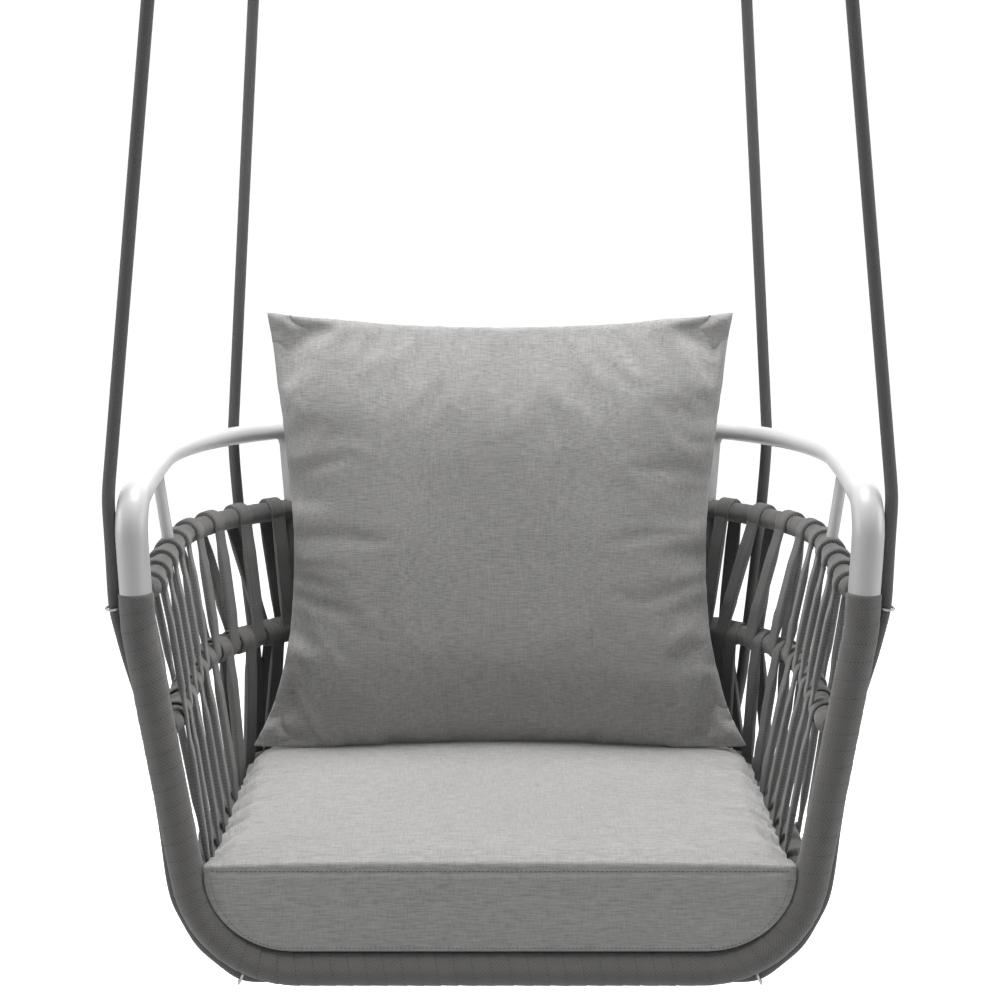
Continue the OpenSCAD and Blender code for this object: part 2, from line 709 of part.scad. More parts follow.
module seat_cover() {
    color(cloth) in_seat() difference() {
        seat_solid(0);
        seat_solid(cover_t);
    }
}

module seat_foam() {
    color(foam) in_seat() seat_solid(cover_t + fit_gap);
}

module seat_zip() {
    back = cushion_back_y + cushion_back_r;
    color(steel) in_seat() {
        translate([-60, back + 0.3, cushion_base_z + 30]) cube([120, 0.9, 8]);
        translate([50, back + 0.6, cushion_base_z + 31]) cube([10, 2.6, 6]);
    }
}

// Knife-edge pillow: sides pulled in between the corners, bowed into the back
pillow_edge_y = 436;
pillow_low_z = -425.5;
pillow_bow = 70;
function pillow_half(v) = pillow_w / 2 + (v > 0 ? 25 * pow(v, 1.2) : 50 * pow(-v, 2.5));
function pillow_point(u, v, face, shrink) =
    let (
        crown = pow((1 - pow(abs(u), 3)) * (1 - pow(abs(v), 2.6)), 0.6),
        z = pillow_low_z + pillow_h * (v + 1) / 2
            - (v > 0 ? 22 * (1 - u * u) * pow(v, 3) : -(2 + 6 * pow(u, 4)) * pow(v, 4)),
        x = u * (pillow_half(v) - shrink),
        mid = pillow_edge_y + pillow_bow * pow(1 - u * u, 1.6) * (0.5 + 0.5 * (1 - v * v)) + 12 * v)
        [x, mid + face * max(crown * pillow_t / 2 - shrink, 0) + face * 1, z];

module pillow_solid(shrink) {
    n = 10;
    low = -1 + (shrink > 0 ? 0.03 : 0);
    grid = [for (i = [0:n]) low + (-2 * low) * i / n];
    m = n + 1;
    front = [for (v = grid, u = grid) pillow_point(u, v, -1, shrink)];
    back = [for (v = grid, u = grid) pillow_point(u, v, 1, shrink)];
    rim = concat([for (i = [0:n - 1]) i], [for (i = [0:n - 1]) n + i * m],
        [for (i = [0:n - 1]) m * m - 1 - i], [for (i = [0:n - 1]) m * (n - i)]);
    polyhedron(points = concat(front, back), faces = concat(
        [for (j = [0:n - 1], i = [0:n - 1]) let (a = j * m + i)
            each [[a, a + m, a + m + 1], [a, a + m + 1, a + 1]]],
        [for (j = [0:n - 1], i = [0:n - 1]) let (a = m * m + j * m + i)
            each [[a, a + m + 1, a + m], [a, a + 1, a + m + 1]]],
        [for (k = [0:len(rim) - 1]) let (a = rim[k], b = rim[(k + 1) % len(rim)])
            each [[a, b, b + m * m], [a, b + m * m, a + m * m]]]));
}

module pillow_cover() {
    color(cloth) in_seat() difference() {
        pillow_solid(0);
        pillow_solid(cover_t);
    }
}

module pillow_fill() {
    color(foam) in_seat() pillow_solid(cover_t + 0.6);
}

module pillow_zip() {
    color(steel) in_seat() translate([-55, pillow_edge_y + 20.5, pillow_low_z - 0.4])
        cube([110, 3, 1.6]);
}

front_at = -hook_depth / 2;
rear_at = hook_depth / 2;
ceiling_plate(-front_hook_x, front_at);  // ceiling_plate_front_left
ceiling_plate(front_hook_x, front_at);  // ceiling_plate_front_right
ceiling_plate(-rear_hook_x, rear_at);  // ceiling_plate_rear_left
ceiling_plate(rear_hook_x, rear_at);  // ceiling_plate_rear_right
ceiling_eyes();
color(steel) front_pair() carabiner();  // front_carabiners
color(steel) front_pair() gate_pin();  // front_gate_pins
color(steel) front_pair() thimble();  // front_thimbles
color(belt) front_pair() rope_eye();  // front_rope_eyes
color(steel) front_pair() ferrule();  // front_ferrules
color(belt) at_front(-1) rope_span(front_hook_x, front_contact_x);  // front_rope_left
color(belt) at_front(1) rope_span(front_hook_x, front_contact_x);  // front_rope_right
color(steel) rear_pair() carabiner();  // rear_carabiners
color(steel) rear_pair() gate_pin();  // rear_gate_pins
color(steel) rear_pair() thimble();  // rear_thimbles
color(belt) rear_pair() rope_eye();  // rear_rope_eyes
color(steel) rear_pair() ferrule();  // rear_ferrules
color(belt) at_rear(-1) rope_span(rear_hook_x, rear_contact_x);  // rear_rope_left
color(belt) at_rear(1) rope_span(rear_hook_x, rear_contact_x);  // rear_rope_right
color(steel) at_front(-1) gate();  // gate_front_left
color(steel) at_front(1) gate();  // gate_front_right
color(steel) at_rear(-1) gate();  // gate_rear_left
color(steel) at_rear(1) gate();  // gate_rear_right
front_hoop();
arm_rail();
upper_rail();
middle_rail();
seat_rail();
arm_posts();
rear_uprights();
seat_ribs();
hoop_wrap();
upper_rail_wrap();
middle_rail_wrap();
seat_rail_wrap();
upright_wrap();
inner_straps_left();
outer_straps_left();
inner_straps_right();
outer_straps_right();
inner_straps_back();
outer_straps_back();
deck_cross_belts();
deck_length_belts();
upper_rope_rings();
lower_rope_rings();
rear_rope_rings();
front_sling();
rear_sling();
seat_cover();
seat_foam();
seat_zip();
pillow_cover();
pillow_fill();
pillow_zip();
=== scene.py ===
"""Looks of the porch swing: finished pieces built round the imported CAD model, in metres."""
import json
import math

import bpy
import numpy as np
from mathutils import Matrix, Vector, noise
from mathutils.bvhtree import BVHTree


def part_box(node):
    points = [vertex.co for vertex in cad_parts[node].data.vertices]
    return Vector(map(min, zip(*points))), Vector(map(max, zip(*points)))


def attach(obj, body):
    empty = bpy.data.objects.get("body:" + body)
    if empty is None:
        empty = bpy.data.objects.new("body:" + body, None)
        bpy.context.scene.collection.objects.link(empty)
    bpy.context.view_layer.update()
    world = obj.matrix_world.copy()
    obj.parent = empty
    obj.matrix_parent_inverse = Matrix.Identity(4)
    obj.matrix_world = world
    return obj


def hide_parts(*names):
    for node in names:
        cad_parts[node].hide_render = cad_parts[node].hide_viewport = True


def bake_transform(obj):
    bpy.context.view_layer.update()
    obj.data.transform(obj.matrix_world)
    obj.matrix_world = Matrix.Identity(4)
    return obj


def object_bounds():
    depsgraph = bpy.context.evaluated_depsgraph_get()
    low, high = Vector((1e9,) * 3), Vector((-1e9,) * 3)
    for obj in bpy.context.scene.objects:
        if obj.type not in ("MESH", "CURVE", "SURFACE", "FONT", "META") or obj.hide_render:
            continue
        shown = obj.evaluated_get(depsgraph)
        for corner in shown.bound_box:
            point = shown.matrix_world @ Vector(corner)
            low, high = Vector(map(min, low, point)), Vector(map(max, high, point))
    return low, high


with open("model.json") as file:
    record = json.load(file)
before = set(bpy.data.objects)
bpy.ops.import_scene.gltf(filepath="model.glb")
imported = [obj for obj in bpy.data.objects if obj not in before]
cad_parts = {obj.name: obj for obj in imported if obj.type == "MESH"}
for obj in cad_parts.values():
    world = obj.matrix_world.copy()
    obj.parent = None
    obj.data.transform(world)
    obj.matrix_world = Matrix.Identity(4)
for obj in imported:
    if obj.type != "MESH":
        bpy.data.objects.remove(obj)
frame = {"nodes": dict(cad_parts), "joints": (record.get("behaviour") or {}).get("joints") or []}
cad_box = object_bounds()
joints = {j["name"]: j for j in frame["joints"]}

# The seat's own frame has its zero level with the arm rail's centre and at the front hoop's plane
FRONT_Y = 0.010
contact = Vector(joints["seat_swing"]["pos_m"])
seat_zero = np.array([0, contact.y - FRONT_Y, contact.z])
front_pivot = joints["front_swing"]["pos_m"]
rear_pivot = joints["rear_swing"]["pos_m"]
hang_height = front_pivot[2] - contact.z

ROPE_D = 0.015
BELT_W = 0.021
BELT_T = 0.0026
STRAP_T = 0.0034
STRAP_PLUMP = 0.0040

# ---------------------------------------------------------------- camera

PHOTO_PITCH = math.radians(10.23)
eye_height = 0.444
eye_distance = 2.46
camera_data = bpy.data.cameras.new("camera")
camera_data.sensor_width = 36
camera_data.lens = 79.8
camera = bpy.data.objects.new("camera", camera_data)
camera.location = Vector(seat_zero) + Vector((0, -eye_distance, eye_height))
camera.rotation_euler = (math.pi / 2 - PHOTO_PITCH, 0, 0)
bpy.context.scene.collection.objects.link(camera)
bpy.context.scene.camera = camera


# ---------------------------------------------------------------- paths and meshes

def unit(v):
    return v / np.linalg.norm(v, axis=-1, keepdims=True)


def mirrored(points):
    return np.asarray(points) * (-1, 1, 1)


def both_sides(half):
    """A path given from its right end to the middle, carried on to the left end."""
    half = np.asarray(half, float)
    return np.vstack([half, mirrored(half[:-1])[::-1]])


def lengths_along(path):
    steps = np.linalg.norm(np.diff(path, axis=0), axis=1)
    return np.concatenate([[0], np.cumsum(steps)])


def resampled(path, step):
    path = np.asarray(path, float)
    s = lengths_along(path)
    at = np.linspace(0, s[-1], max(3, int(round(s[-1] / step)) + 1))
    return np.stack([np.interp(at, s, path[:, k]) for k in range(3)], axis=1)


def eased(path, step, reach):
    """Evenly spaced points along a path whose corners are rounded over the given reach."""
    path = resampled(path, step)
    for _ in range(int((reach / step) ** 2)):
        path[1:-1] += 0.25 * (path[:-2] - 2 * path[1:-1] + path[2:])
    return path


def tangents(path):
    return unit(np.gradient(path, axis=0))


def carried_frames(path, start):
    """Two directions across a path at each point, turning no more than the path does."""
    along = tangents(path)
    sides = [unit(np.cross(np.asarray(start, float), along[0]))]
    for t in along[1:]:
        side = sides[-1] - t * (sides[-1] @ t)
        sides.append(side / np.linalg.norm(side))
    sides = np.array(sides)
    return sides, np.cross(along, sides)


def link(name, mesh, material):
    obj = bpy.data.objects.new(name, mesh)
    bpy.context.scene.collection.objects.link(obj)
    mesh.materials.append(material)
    return obj


def skinned(name, rings, across, along, material, closed=True, capped=True):
    """A smooth mesh through rings of points, with UVs (across, along)."""
    n, m, _ = rings.shape
    spans = m if closed else m - 1
    i, j = np.meshgrid(np.arange(n - 1), np.arange(spans), indexing="ij")
    i, j = i.ravel(), j.ravel()
    after = (j + 1) % m
    faces = np.stack([i * m + j, i * m + after, (i + 1) * m + after, (i + 1) * m + j], axis=1)
    faces = faces.tolist()
    if capped and closed:
        faces.append(list(range(m))[::-1])
        faces.append([(n - 1) * m + k for k in range(m)])
    mesh = bpy.data.meshes.new(name)
    mesh.from_pydata(rings.reshape(-1, 3).tolist(), [], faces)
    across = np.asarray(across, float)
    u = np.stack([across[j], across[j + 1], across[j + 1], across[j]], axis=1)
    v = np.stack([along[i], along[i], along[i + 1], along[i + 1]], axis=1)
    uv = np.stack([u, v], axis=2).reshape(-1)
    layer = mesh.uv_layers.new(name="weave")
    flat = np.zeros(len(mesh.loops) * 2)
    flat[:len(uv)] = uv
    layer.data.foreach_set("uv", flat)
    mesh.polygons.foreach_set("use_smooth", np.ones(len(mesh.polygons), bool))
    return link(name, mesh, material)


def joined(name, parts):
    """One object from several."""
    bpy.ops.object.select_all(action="DESELECT")
    for part in parts:
        part.select_set(True)
    bpy.context.view_layer.objects.active = parts[0]
    bpy.ops.object.join()
    whole = bpy.context.view_layer.objects.active
    whole.select_set(False)
    whole.name = whole.data.name = name
    return whole


def round_tube(name, path, radius, material, sides=32, start=(0, 0, 1)):
    """A tube along a path, its radius one number or one for each point."""
    u, v = carried_frames(path, start)
    angle = np.arange(sides) * 2 * math.pi / sides
    r = np.broadcast_to(np.asarray(radius, float), (len(path),))[:, None, None]
    across = np.cos(angle)[None, :, None] * u[:, None] + np.sin(angle)[None, :, None] * v[:, None]
    around = np.arange(sides + 1) / sides
    return skinned(name, path[:, None] + r * across, around, lengths_along(path), material)


def finish_piece(obj, body, *nodes, slot=None):
    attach(obj, body)
    if nodes:
        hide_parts(*nodes)
    return obj


# ---------------------------------------------------------------- materials

class Surface:
    """One material and short calls that build its node tree."""

    def __init__(self, name, roughness, **settings):
        self.material = bpy.data.materials.new(name)
        self.material.use_nodes = True
        self.tree = self.material.node_tree
        self.shader = self.tree.nodes["Principled BSDF"]
        self.shader.inputs["Roughness"].default_value = roughness
        for key, value in settings.items():
            self.shader.inputs[key.replace("_", " ")].default_value = value

    def node(self, kind, inputs=None, **settings):
        made = self.tree.nodes.new("ShaderNode" + kind)
        for key, value in settings.items():
            setattr(made, key, value)
        for key, value in (inputs or {}).items():
            self.feed(made.inputs[key], value)
        return made

    def feed(self, socket, value):
        if isinstance(value, bpy.types.NodeSocket):
            self.tree.links.new(value, socket)
        else:
            socket.default_value = value

    def math(self, operation, a, b=0.0, c=0.0):
        return self.node("Math", {0: a, 1: b, 2: c}, operation=operation).outputs[0]

    def uv(self):
        place = self.node("UVMap", uv_map="weave")
        split = self.node("SeparateXYZ", {0: place.outputs["UV"]})
        return split.outputs["X"], split.outputs["Y"]

    def object_place(self):
        return self.node("TexCoord").outputs["Object"]

    def stretched(self, scale):
        return self.node("VectorMath", {0: self.object_place(), 1: scale},
                         operation="MULTIPLY").outputs[0]

    def noise(self, scale, detail=2.0, vector=None):
        place = vector if vector is not None else self.object_place()
        made = self.node("TexNoise", {"Vector": place, "Scale": scale, "Detail": detail})
        return made.outputs[0]

    def blend(self, amount, low, high):
        made = self.node("Mix", data_type="RGBA")
        self.feed(made.inputs[0], amount)
        self.feed(made.inputs[6], low)
        self.feed(made.inputs[7], high)
        return made.outputs[2]

    def colour(self, value):
        self.feed(self.shader.inputs["Base Color"], value)

    def bump(self, height, distance, strength=1.0):
        made = self.node("Bump", {"Height": height, "Distance": distance, "Strength": strength})
        self.tree.links.new(made.outputs["Normal"], self.shader.inputs["Normal"])

    def waves(self, a):
        """A smooth 0 to 1 wave, once for each unit of a."""
        turned = self.math("MULTIPLY", a, 2 * math.pi)
        return self.math("MULTIPLY_ADD", self.math("SINE", turned), 0.5, 0.5)

    def basket(self, a, b):
        """Raised threads in a plain weave, one crossing for each half unit of a and b."""
        turned_a = self.math("SINE", self.math("MULTIPLY", a, 2 * math.pi))
        turned_b = self.math("SINE", self.math("MULTIPLY", b, 2 * math.pi))
        return self.math("MULTIPLY_ADD", self.math("MULTIPLY", turned_a, turned_b), 0.5, 0.5)


def grey(value, warm=0.0):
    return (value * (1 + warm), value, value * (1 - warm), 1)


BELT_DARK = grey(0.064, 0.03)
BELT_LIGHT = grey(0.180, 0.03)
THREADS = 9


def wound_belt(name, turns_across):
    """Belt wound round a tube: v counts turns along it and u goes once round."""
    s = Surface(name, 0.92, Sheen_Weight=0.25, Sheen_Roughness=0.6)
    u, v = s.uv()
    within = s.math("FRACT", s.math("SUBTRACT", v, u))
    weave = s.basket(s.math("MULTIPLY", within, THREADS / 2), s.math("MULTIPLY", u, turns_across))
    wear = s.noise(34.0, 3.0)
    fleck = s.noise(900.0, 1.0)
    tone = s.math("MULTIPLY_ADD", weave, 0.5, s.math("MULTIPLY", wear, 0.35))
    tone = s.math("MULTIPLY_ADD", fleck, 0.45, s.math("SUBTRACT", tone, 0.18))
    cloth = s.blend(tone, BELT_DARK, BELT_LIGHT)
    # Painted shade: a near-black line along each turn's lapped edge, standing in for the shadow in the groove
    # where one turn tucks under the next
    edge = s.math("LESS_THAN", within, 0.040)
    cloth_painted_groove_shade = s.blend(s.math("MULTIPLY", edge, 0.62), cloth, grey(0.03))
    s.colour(cloth_painted_groove_shade)
    height = s.math("SUBTRACT", s.math("MULTIPLY", weave, 0.5), s.math("MULTIPLY", edge, 0.8))
    s.bump(height, 0.0006)
    return s.material


def flat_belt():
    """Flat belt: u runs from -0.5 to 0.5 across it and v counts belt widths along it."""
    s = Surface("flat_belt", 0.92, Sheen_Weight=0.25, Sheen_Roughness=0.6)
    u, v = s.uv()
    weave = s.basket(s.math("MULTIPLY", u, THREADS / 2), s.math("MULTIPLY", v, THREADS / 2))
    wear = s.noise(34.0, 3.0)
    fleck = s.noise(900.0, 1.0)
    tone = s.math("MULTIPLY_ADD", weave, 0.5, s.math("MULTIPLY", wear, 0.35))
    tone = s.math("MULTIPLY_ADD", fleck, 0.45, s.math("SUBTRACT", tone, 0.18))
    cloth = s.blend(tone, BELT_DARK, BELT_LIGHT)
    from_middle = s.math("ABSOLUTE", u)
    selvedge = s.math("GREATER_THAN", from_middle, 0.44)
    dashes = s.math("MULTIPLY", selvedge, s.waves(s.math("MULTIPLY", v, THREADS)))
    # A groove just inside each selvedge, with painted shade: a near-black line laid in that groove
    selvedge_groove_and_shade = s.math("COMPARE", from_middle, 0.40, 0.018)
    cloth_painted_groove_shade = s.blend(s.math("MULTIPLY", selvedge_groove_and_shade, 0.6), cloth, grey(0.03))
    s.colour(s.blend(s.math("MULTIPLY", dashes, 0.6), cloth_painted_groove_shade, grey(0.26)))
    s.bump(s.math("SUBTRACT", s.math("MULTIPLY", weave, 0.5), selvedge_groove_and_shade), 0.0006)
    return s.material


def braided_rope():
    """A braided sheath: u goes once round and v is metres along."""
    s = Surface("braided_rope", 0.85, Sheen_Weight=0.2, Sheen_Roughness=0.5)
    u, v = s.uv()
    strands = s.math("MULTIPLY", u, 12.0)
    lay = s.math("MULTIPLY", v, 210.0)
    right = s.waves(s.math("ADD", strands, lay))
    left = s.waves(s.math("SUBTRACT", strands, lay))
    braid = s.math("MULTIPLY", right, left)
    fleck = s.noise(1200.0, 1.0)
    tone = s.math("MULTIPLY_ADD", fleck, 0.4, s.math("MULTIPLY_ADD", braid, 0.32, 0.16))
    s.colour(s.blend(tone, grey(0.045, 0.02), grey(0.150, 0.02)))
    s.bump(braid, 0.0004)
    return s.material


def white_coating():
    s = Surface("white_coating", 0.34, Specular_IOR_Level=0.45, Coat_Weight=0.15, Coat_Roughness=0.25)
    cloudy = s.noise(9.0, 3.0)
    s.colour(s.blend(cloudy, grey(0.66), grey(0.72)))
    s.feed(s.shader.inputs["Roughness"], s.math("MULTIPLY_ADD", s.noise(160.0, 2.0), 0.16, 0.26))
    s.bump(s.noise(900.0, 2.0), 0.00008)
    return s.material


def satin_steel(name="satin_steel", tone=0.38):
    s = Surface(name, 0.3, Metallic=1.0)
    brushed = s.noise(1.0, 3.0, s.stretched((2600.0, 2600.0, 90.0)))
    smudge = s.noise(60.0, 3.0)
    s.colour(s.blend(smudge, grey(tone * 0.86), grey(tone * 1.1)))
    s.feed(s.shader.inputs["Roughness"], s.math("MULTIPLY_ADD", brushed, 0.2, 0.20))
    s.bump(brushed, 0.00005)
    return s.material


def melange(name, low, high, streaks):
    """Cushion cloth of mixed yarns: fine slubs along x, fainter ones across, on a tight weave."""
    s = Surface(name, 0.95, Sheen_Weight=0.2, Sheen_Roughness=0.7)
    weft = s.noise(1.0, 3.0, s.stretched((55.0, 620.0, 620.0)))
    warp = s.noise(1.0, 2.0, s.stretched((700.0, 70.0, 70.0)))
    fleck = s.noise(1500.0, 1.0)
    cloudy = s.noise(6.0, 2.0)
    tone = s.math("MULTIPLY_ADD", weft, streaks, s.math("MULTIPLY", warp, streaks * 0.55))
    tone = s.math("MULTIPLY_ADD", fleck, 0.35, tone)
    tone = s.math("MULTIPLY_ADD", cloudy, 0.12, s.math("SUBTRACT", tone, streaks * 0.78 - 0.27))
    s.colour(s.blend(tone, low, high))
    s.bump(s.math("MULTIPLY_ADD", weft, 0.6, s.math("MULTIPLY", warp, 0.4)), 0.0005)
    return s.material


belt_cloth = flat_belt()
hoop_belt = wound_belt("hoop_belt", 58 / 2)
rail_belt = wound_belt("rail_belt", 40 / 2)
post_belt = wound_belt("post_belt", 28 / 2)
rope_sheath = braided_rope()
white = white_coating()
steel = satin_steel()
ring_steel = satin_steel("ring_steel", 0.26)
cushion_cloth = melange("cushion_cloth", grey(0.24, 0.014), grey(0.53, 0.014), 1.3)
thread = melange("thread", grey(0.05, 0.01), grey(0.12, 0.01), 0.6)

# ---------------------------------------------------------------- ropes

# Heights on a rope's own axis, below its ceiling eye
THIMBLE_DROP = 0.0667
FERRULE_TOP = 0.1187
ROPE_TOP = 0.1367
FRONT_HOOK_X, REAR_HOOK_X = 0.363, 0.312
FRONT_CONTACT = (0.444, 0.010, 0)
REAR_CONTACT = (0.3615, 0.512, 0)
front_route = [
    (0.442, 0.010, -0.050), (0.4405, 0.012, -0.127), (0.429, 0.021, -0.185),
    (0.414, 0.025, -0.240), (0.403, 0.025, -0.305), (0.391, 0.025, -0.400),
    (0.386, 0.024, -0.450), (0.381, 0.024, -0.482), (0.353, 0.019, -0.534),
    (0.304, 0.009, -0.571), (0.262, 0.021, -0.576), (0.225, 0.028, -0.568),
    (0.150, 0.030, -0.562), (0, 0.030, -0.562)]
rear_route = [
    (0.3615, 0.512, -0.008), (0.360, 0.511, -0.045), (0.355, 0.507, -0.108),
    (0.347, 0.500, -0.190), (0.338, 0.492, -0.270), (0.335, 0.518, -0.340),
    (0.328, 0.546, -0.405), (0.320, 0.569, -0.465), (0.316, 0.571, -0.500),
    (0.305, 0.566, -0.530), (0.285, 0.559, -0.549), (0.250, 0.552, -0.558),
    (0.150, 0.546, -0.560), (0, 0.544, -0.560)]


class Line:
    """One hanging rope line: its ceiling eye, and the axis it hangs along."""

    def __init__(self, side, hook_x, contact_point, pivot):
        lean = math.atan((contact_point[0] - hook_x) / hang_height)
        self.top = np.array([side * hook_x, pivot[1], pivot[2]])
        self.down = np.array([side * math.sin(lean), 0, -math.cos(lean)])
        self.across = np.array([math.cos(lean), 0, side * math.sin(lean)])
        self.end = seat_zero + np.array(contact_point) * (side, 1, 1)

    def at(self, drop, aside=0.0):
        return self.top + drop * self.down + aside * self.across


front_lines = {side: Line(side, FRONT_HOOK_X, FRONT_CONTACT, front_pivot) for side in (-1, 1)}
rear_lines = {side: Line(side, REAR_HOOK_X, REAR_CONTACT, rear_pivot) for side in (-1, 1)}


def rope(name, path, body, nodes, exit_at):
    piece = round_tube(name, path, ROPE_D / 2, rope_sheath, sides=24, start=(0, 1, 0))
    if body:
        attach(piece, body)
    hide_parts(*nodes)
    return piece


# The front rope is one length: down from the left hook, under the seat and up to the right hook
right_half = [front_lines[1].at(ROPE_TOP), front_lines[1].end] + [
    seat_zero + np.array(p) for p in front_route]
front_path = eased(both_sides(right_half)[::-1], 0.004, 0.016)
front_rope = rope("front_rope", front_path, None, ["front_rope_left", "front_rope_right", "front_sling"],
                  front_path[0])
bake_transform(front_rope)

for side, label in ((-1, "left"), (1, "right")):
    line = rear_lines[side]
    rope(f"rear_rope_{label}_run", resampled([line.at(ROPE_TOP), line.end], 0.004), "rear_ropes",
         [f"rear_rope_{label}"], line.at(ROPE_TOP))
sling_path = eased(both_sides([seat_zero + np.array(p) for p in rear_route]), 0.004, 0.016)
rope("rear_rope_under_seat", sling_path, "seat", ["rear_sling"], sling_path[0])


def rope_eye(name, line):
    """The rope's end, laid round its thimble and back into the ferrule."""
    radius, gap, legs = 0.0275, ROPE_D / 2 + 0.0001, FERRULE_TOP + 0.004
    turn = np.radians(np.linspace(-30, 210, 41))
    loop = [(radius * math.cos(a), THIMBLE_DROP - radius * math.sin(a)) for a in turn]
    ends = [(gap, legs), (gap + 0.0004, legs - 0.009), (0.014, THIMBLE_DROP + 0.038)]
    outline = ends + loop + [(-x, drop) for x, drop in ends[::-1]]
    path = eased([line.at(drop, aside) for aside, drop in outline], 0.002, 0.004)
    return round_tube(name, path, ROPE_D / 2, rope_sheath, sides=24, start=(0, 1, 0))


for row, lines in (("front", front_lines), ("rear", rear_lines)):
    eyes = [rope_eye(f"{row}_eye_{side}", lines[side]) for side in (-1, 1)]
    finish_piece(joined(f"{row}_spliced_eyes", eyes), f"{row}_ropes", f"{row}_rope_eyes", slot="rope")

# ---------------------------------------------------------------- plan of the frame

SIDE_LEN, SIDE_TURN = 0.295, math.radians(4)
CORNER_X, CORNER_R, CORNER_TURN = 0.124, 0.300, math.radians(50)
BACK_R = CORNER_R + CORNER_X / math.cos(CORNER_TURN)
SIDE_R = SIDE_LEN / math.sin(SIDE_TURN)
ARM_PLAN = [
    ((CORNER_X + CORNER_R - SIDE_R, SIDE_LEN), SIDE_R, -SIDE_TURN, 0),
    ((CORNER_X, SIDE_LEN), CORNER_R, 0, CORNER_TURN),
    ((0, SIDE_LEN - (BACK_R - CORNER_R) * math.sin(CORNER_TURN)), BACK_R, CORNER_TURN, math.pi / 2)]

SEAT_SIDE_X, SEAT_SIDE_LEN = 0.361, 0.430
SEAT_CORNER_R, SEAT_CORNER_TURN = 0.150, math.radians(80)
SEAT_CORNER_X = SEAT_SIDE_X - SEAT_CORNER_R
SEAT_BACK_R = SEAT_CORNER_R + SEAT_CORNER_X / math.cos(SEAT_CORNER_TURN)
SEAT_BACK_Y = SEAT_SIDE_LEN - (SEAT_BACK_R - SEAT_CORNER_R) * math.sin(SEAT_CORNER_TURN)
STRAIGHT_R = 40.0
SEAT_PLAN = [
    ((SEAT_SIDE_X - STRAIGHT_R, SEAT_SIDE_LEN), STRAIGHT_R, -math.asin(SEAT_SIDE_LEN / STRAIGHT_R), 0),
    ((SEAT_CORNER_X, SEAT_SIDE_LEN), SEAT_CORNER_R, 0, SEAT_CORNER_TURN),
    ((0, SEAT_BACK_Y), SEAT_BACK_R, SEAT_CORNER_TURN, math.pi / 2)]

UPPER_Z, MIDDLE_Z, SEAT_Z, HOOP_Z = -0.108, -0.270, -0.465, -0.558
UPPER_INSET, MIDDLE_INSET = 0.013, 0.035
RAIL_R, SEAT_RAIL_R, POST_R, HOOP_R = 0.011, 0.0125, 0.0075, 0.0185


def plan_len(plan):
    return sum(r * (b - a) for _, r, a, b in plan)


def plan_at(plan, s, inset=0.0, out=0.0):
    """Place and outward direction in plan at station s; past the middle it is on the left."""
    whole = plan_len(plan)
    side = -1 if s > whole else 1
    t = 2 * whole - s if s > whole else s
    for centre, r, a, b in plan:
        if t <= r * (b - a) or b > 1.5:
            angle = a + t / r
            reach = r - inset + out
            normal = np.array([side * math.cos(angle), math.sin(angle), 0])
            return np.array([side * centre[0], centre[1], 0]) + reach * normal, normal
        t -= r * (b - a)


def rail_path(plan, inset, z, start, step=0.004):
    whole = plan_len(plan)
    stations = np.linspace(start, 2 * whole - start, int(2 * whole / step))
    return np.array([seat_zero + plan_at(plan, s, inset)[0] + (0, 0, z) for s in stations])


ARM_LEN, SEAT_LEN = plan_len(ARM_PLAN), plan_len(SEAT_PLAN)
STRAP_COUNT, SIDE_STRAPS, FIRST_STRAP = 14, 9, 0.045
PITCH = (ARM_LEN - FIRST_STRAP) / (STRAP_COUNT - 0.5)
UPRIGHT_S = FIRST_STRAP + (SIDE_STRAPS - 0.5) * PITCH
POST_S = 0.240

# ---------------------------------------------------------------- white tubes

LEG_X, LEG_BEND_Z = 0.4185, -0.150
LEAN_TOP, LEAN = math.radians(2.5), math.radians(9.3)
HOOP_CORNER_R, ARM_BEND_R, WRAP_TOP_Z = 0.128, 0.040, -0.107
leg_bend_x = LEG_X + LEG_BEND_Z * math.tan(LEAN_TOP)
corner_z = HOOP_Z + HOOP_CORNER_R
leg_end_z = corner_z - HOOP_CORNER_R * math.sin(LEAN)
corner_x = leg_bend_x + (leg_end_z - LEG_BEND_Z) * math.tan(LEAN) - HOOP_CORNER_R * math.cos(LEAN)
wrap_top = np.array([LEG_X + WRAP_TOP_Z * math.tan(LEAN_TOP), 0, WRAP_TOP_Z])

hoop_half = [wrap_top, (leg_bend_x, 0, LEG_BEND_Z)] + [
    (corner_x + HOOP_CORNER_R * math.cos(a), 0, corner_z - HOOP_CORNER_R * math.sin(a))
    for a in np.linspace(LEAN, math.pi / 2, 24)] + [(0, 0, HOOP_Z)]
hoop_path = seat_zero + eased(both_sides(hoop_half), 0.0025, 0.010)

arm_bend = [(LEG_X - 0.0019, ARM_BEND_R * (1 - math.cos(a)), ARM_BEND_R * (math.sin(a) - 1))
            for a in np.linspace(0, math.pi / 2, 16)]
arm_half = [wrap_top - (0.0006, 0, 0.012), wrap_top + (0.0016, 0, 0.0352)] + arm_bend
rail_top = [plan_at(ARM_PLAN, s)[0] for s in np.linspace(ARM_BEND_R + 0.02, ARM_LEN, 120)]
arm_path = seat_zero + eased(both_sides(arm_half + rail_top), 0.004, 0.010)
arm_taper = ((0, 0.0185), (0.145, 0.016), (0.300, 0.014), (0.420, 0.0125), (0.480, 0.012))
arm_radius = np.interp(arm_path[:, 1] - seat_zero[1], *zip(*arm_taper))
arm = round_tube("arm_rail_tube", arm_path, arm_radius, white, sides=40)
finish_piece(arm, "seat", "arm_rail", slot="white_coating")


def from_plan(s, z, plan=ARM_PLAN, inset=0.0):
    return seat_zero + plan_at(plan, s, inset)[0] + (0, 0, z)


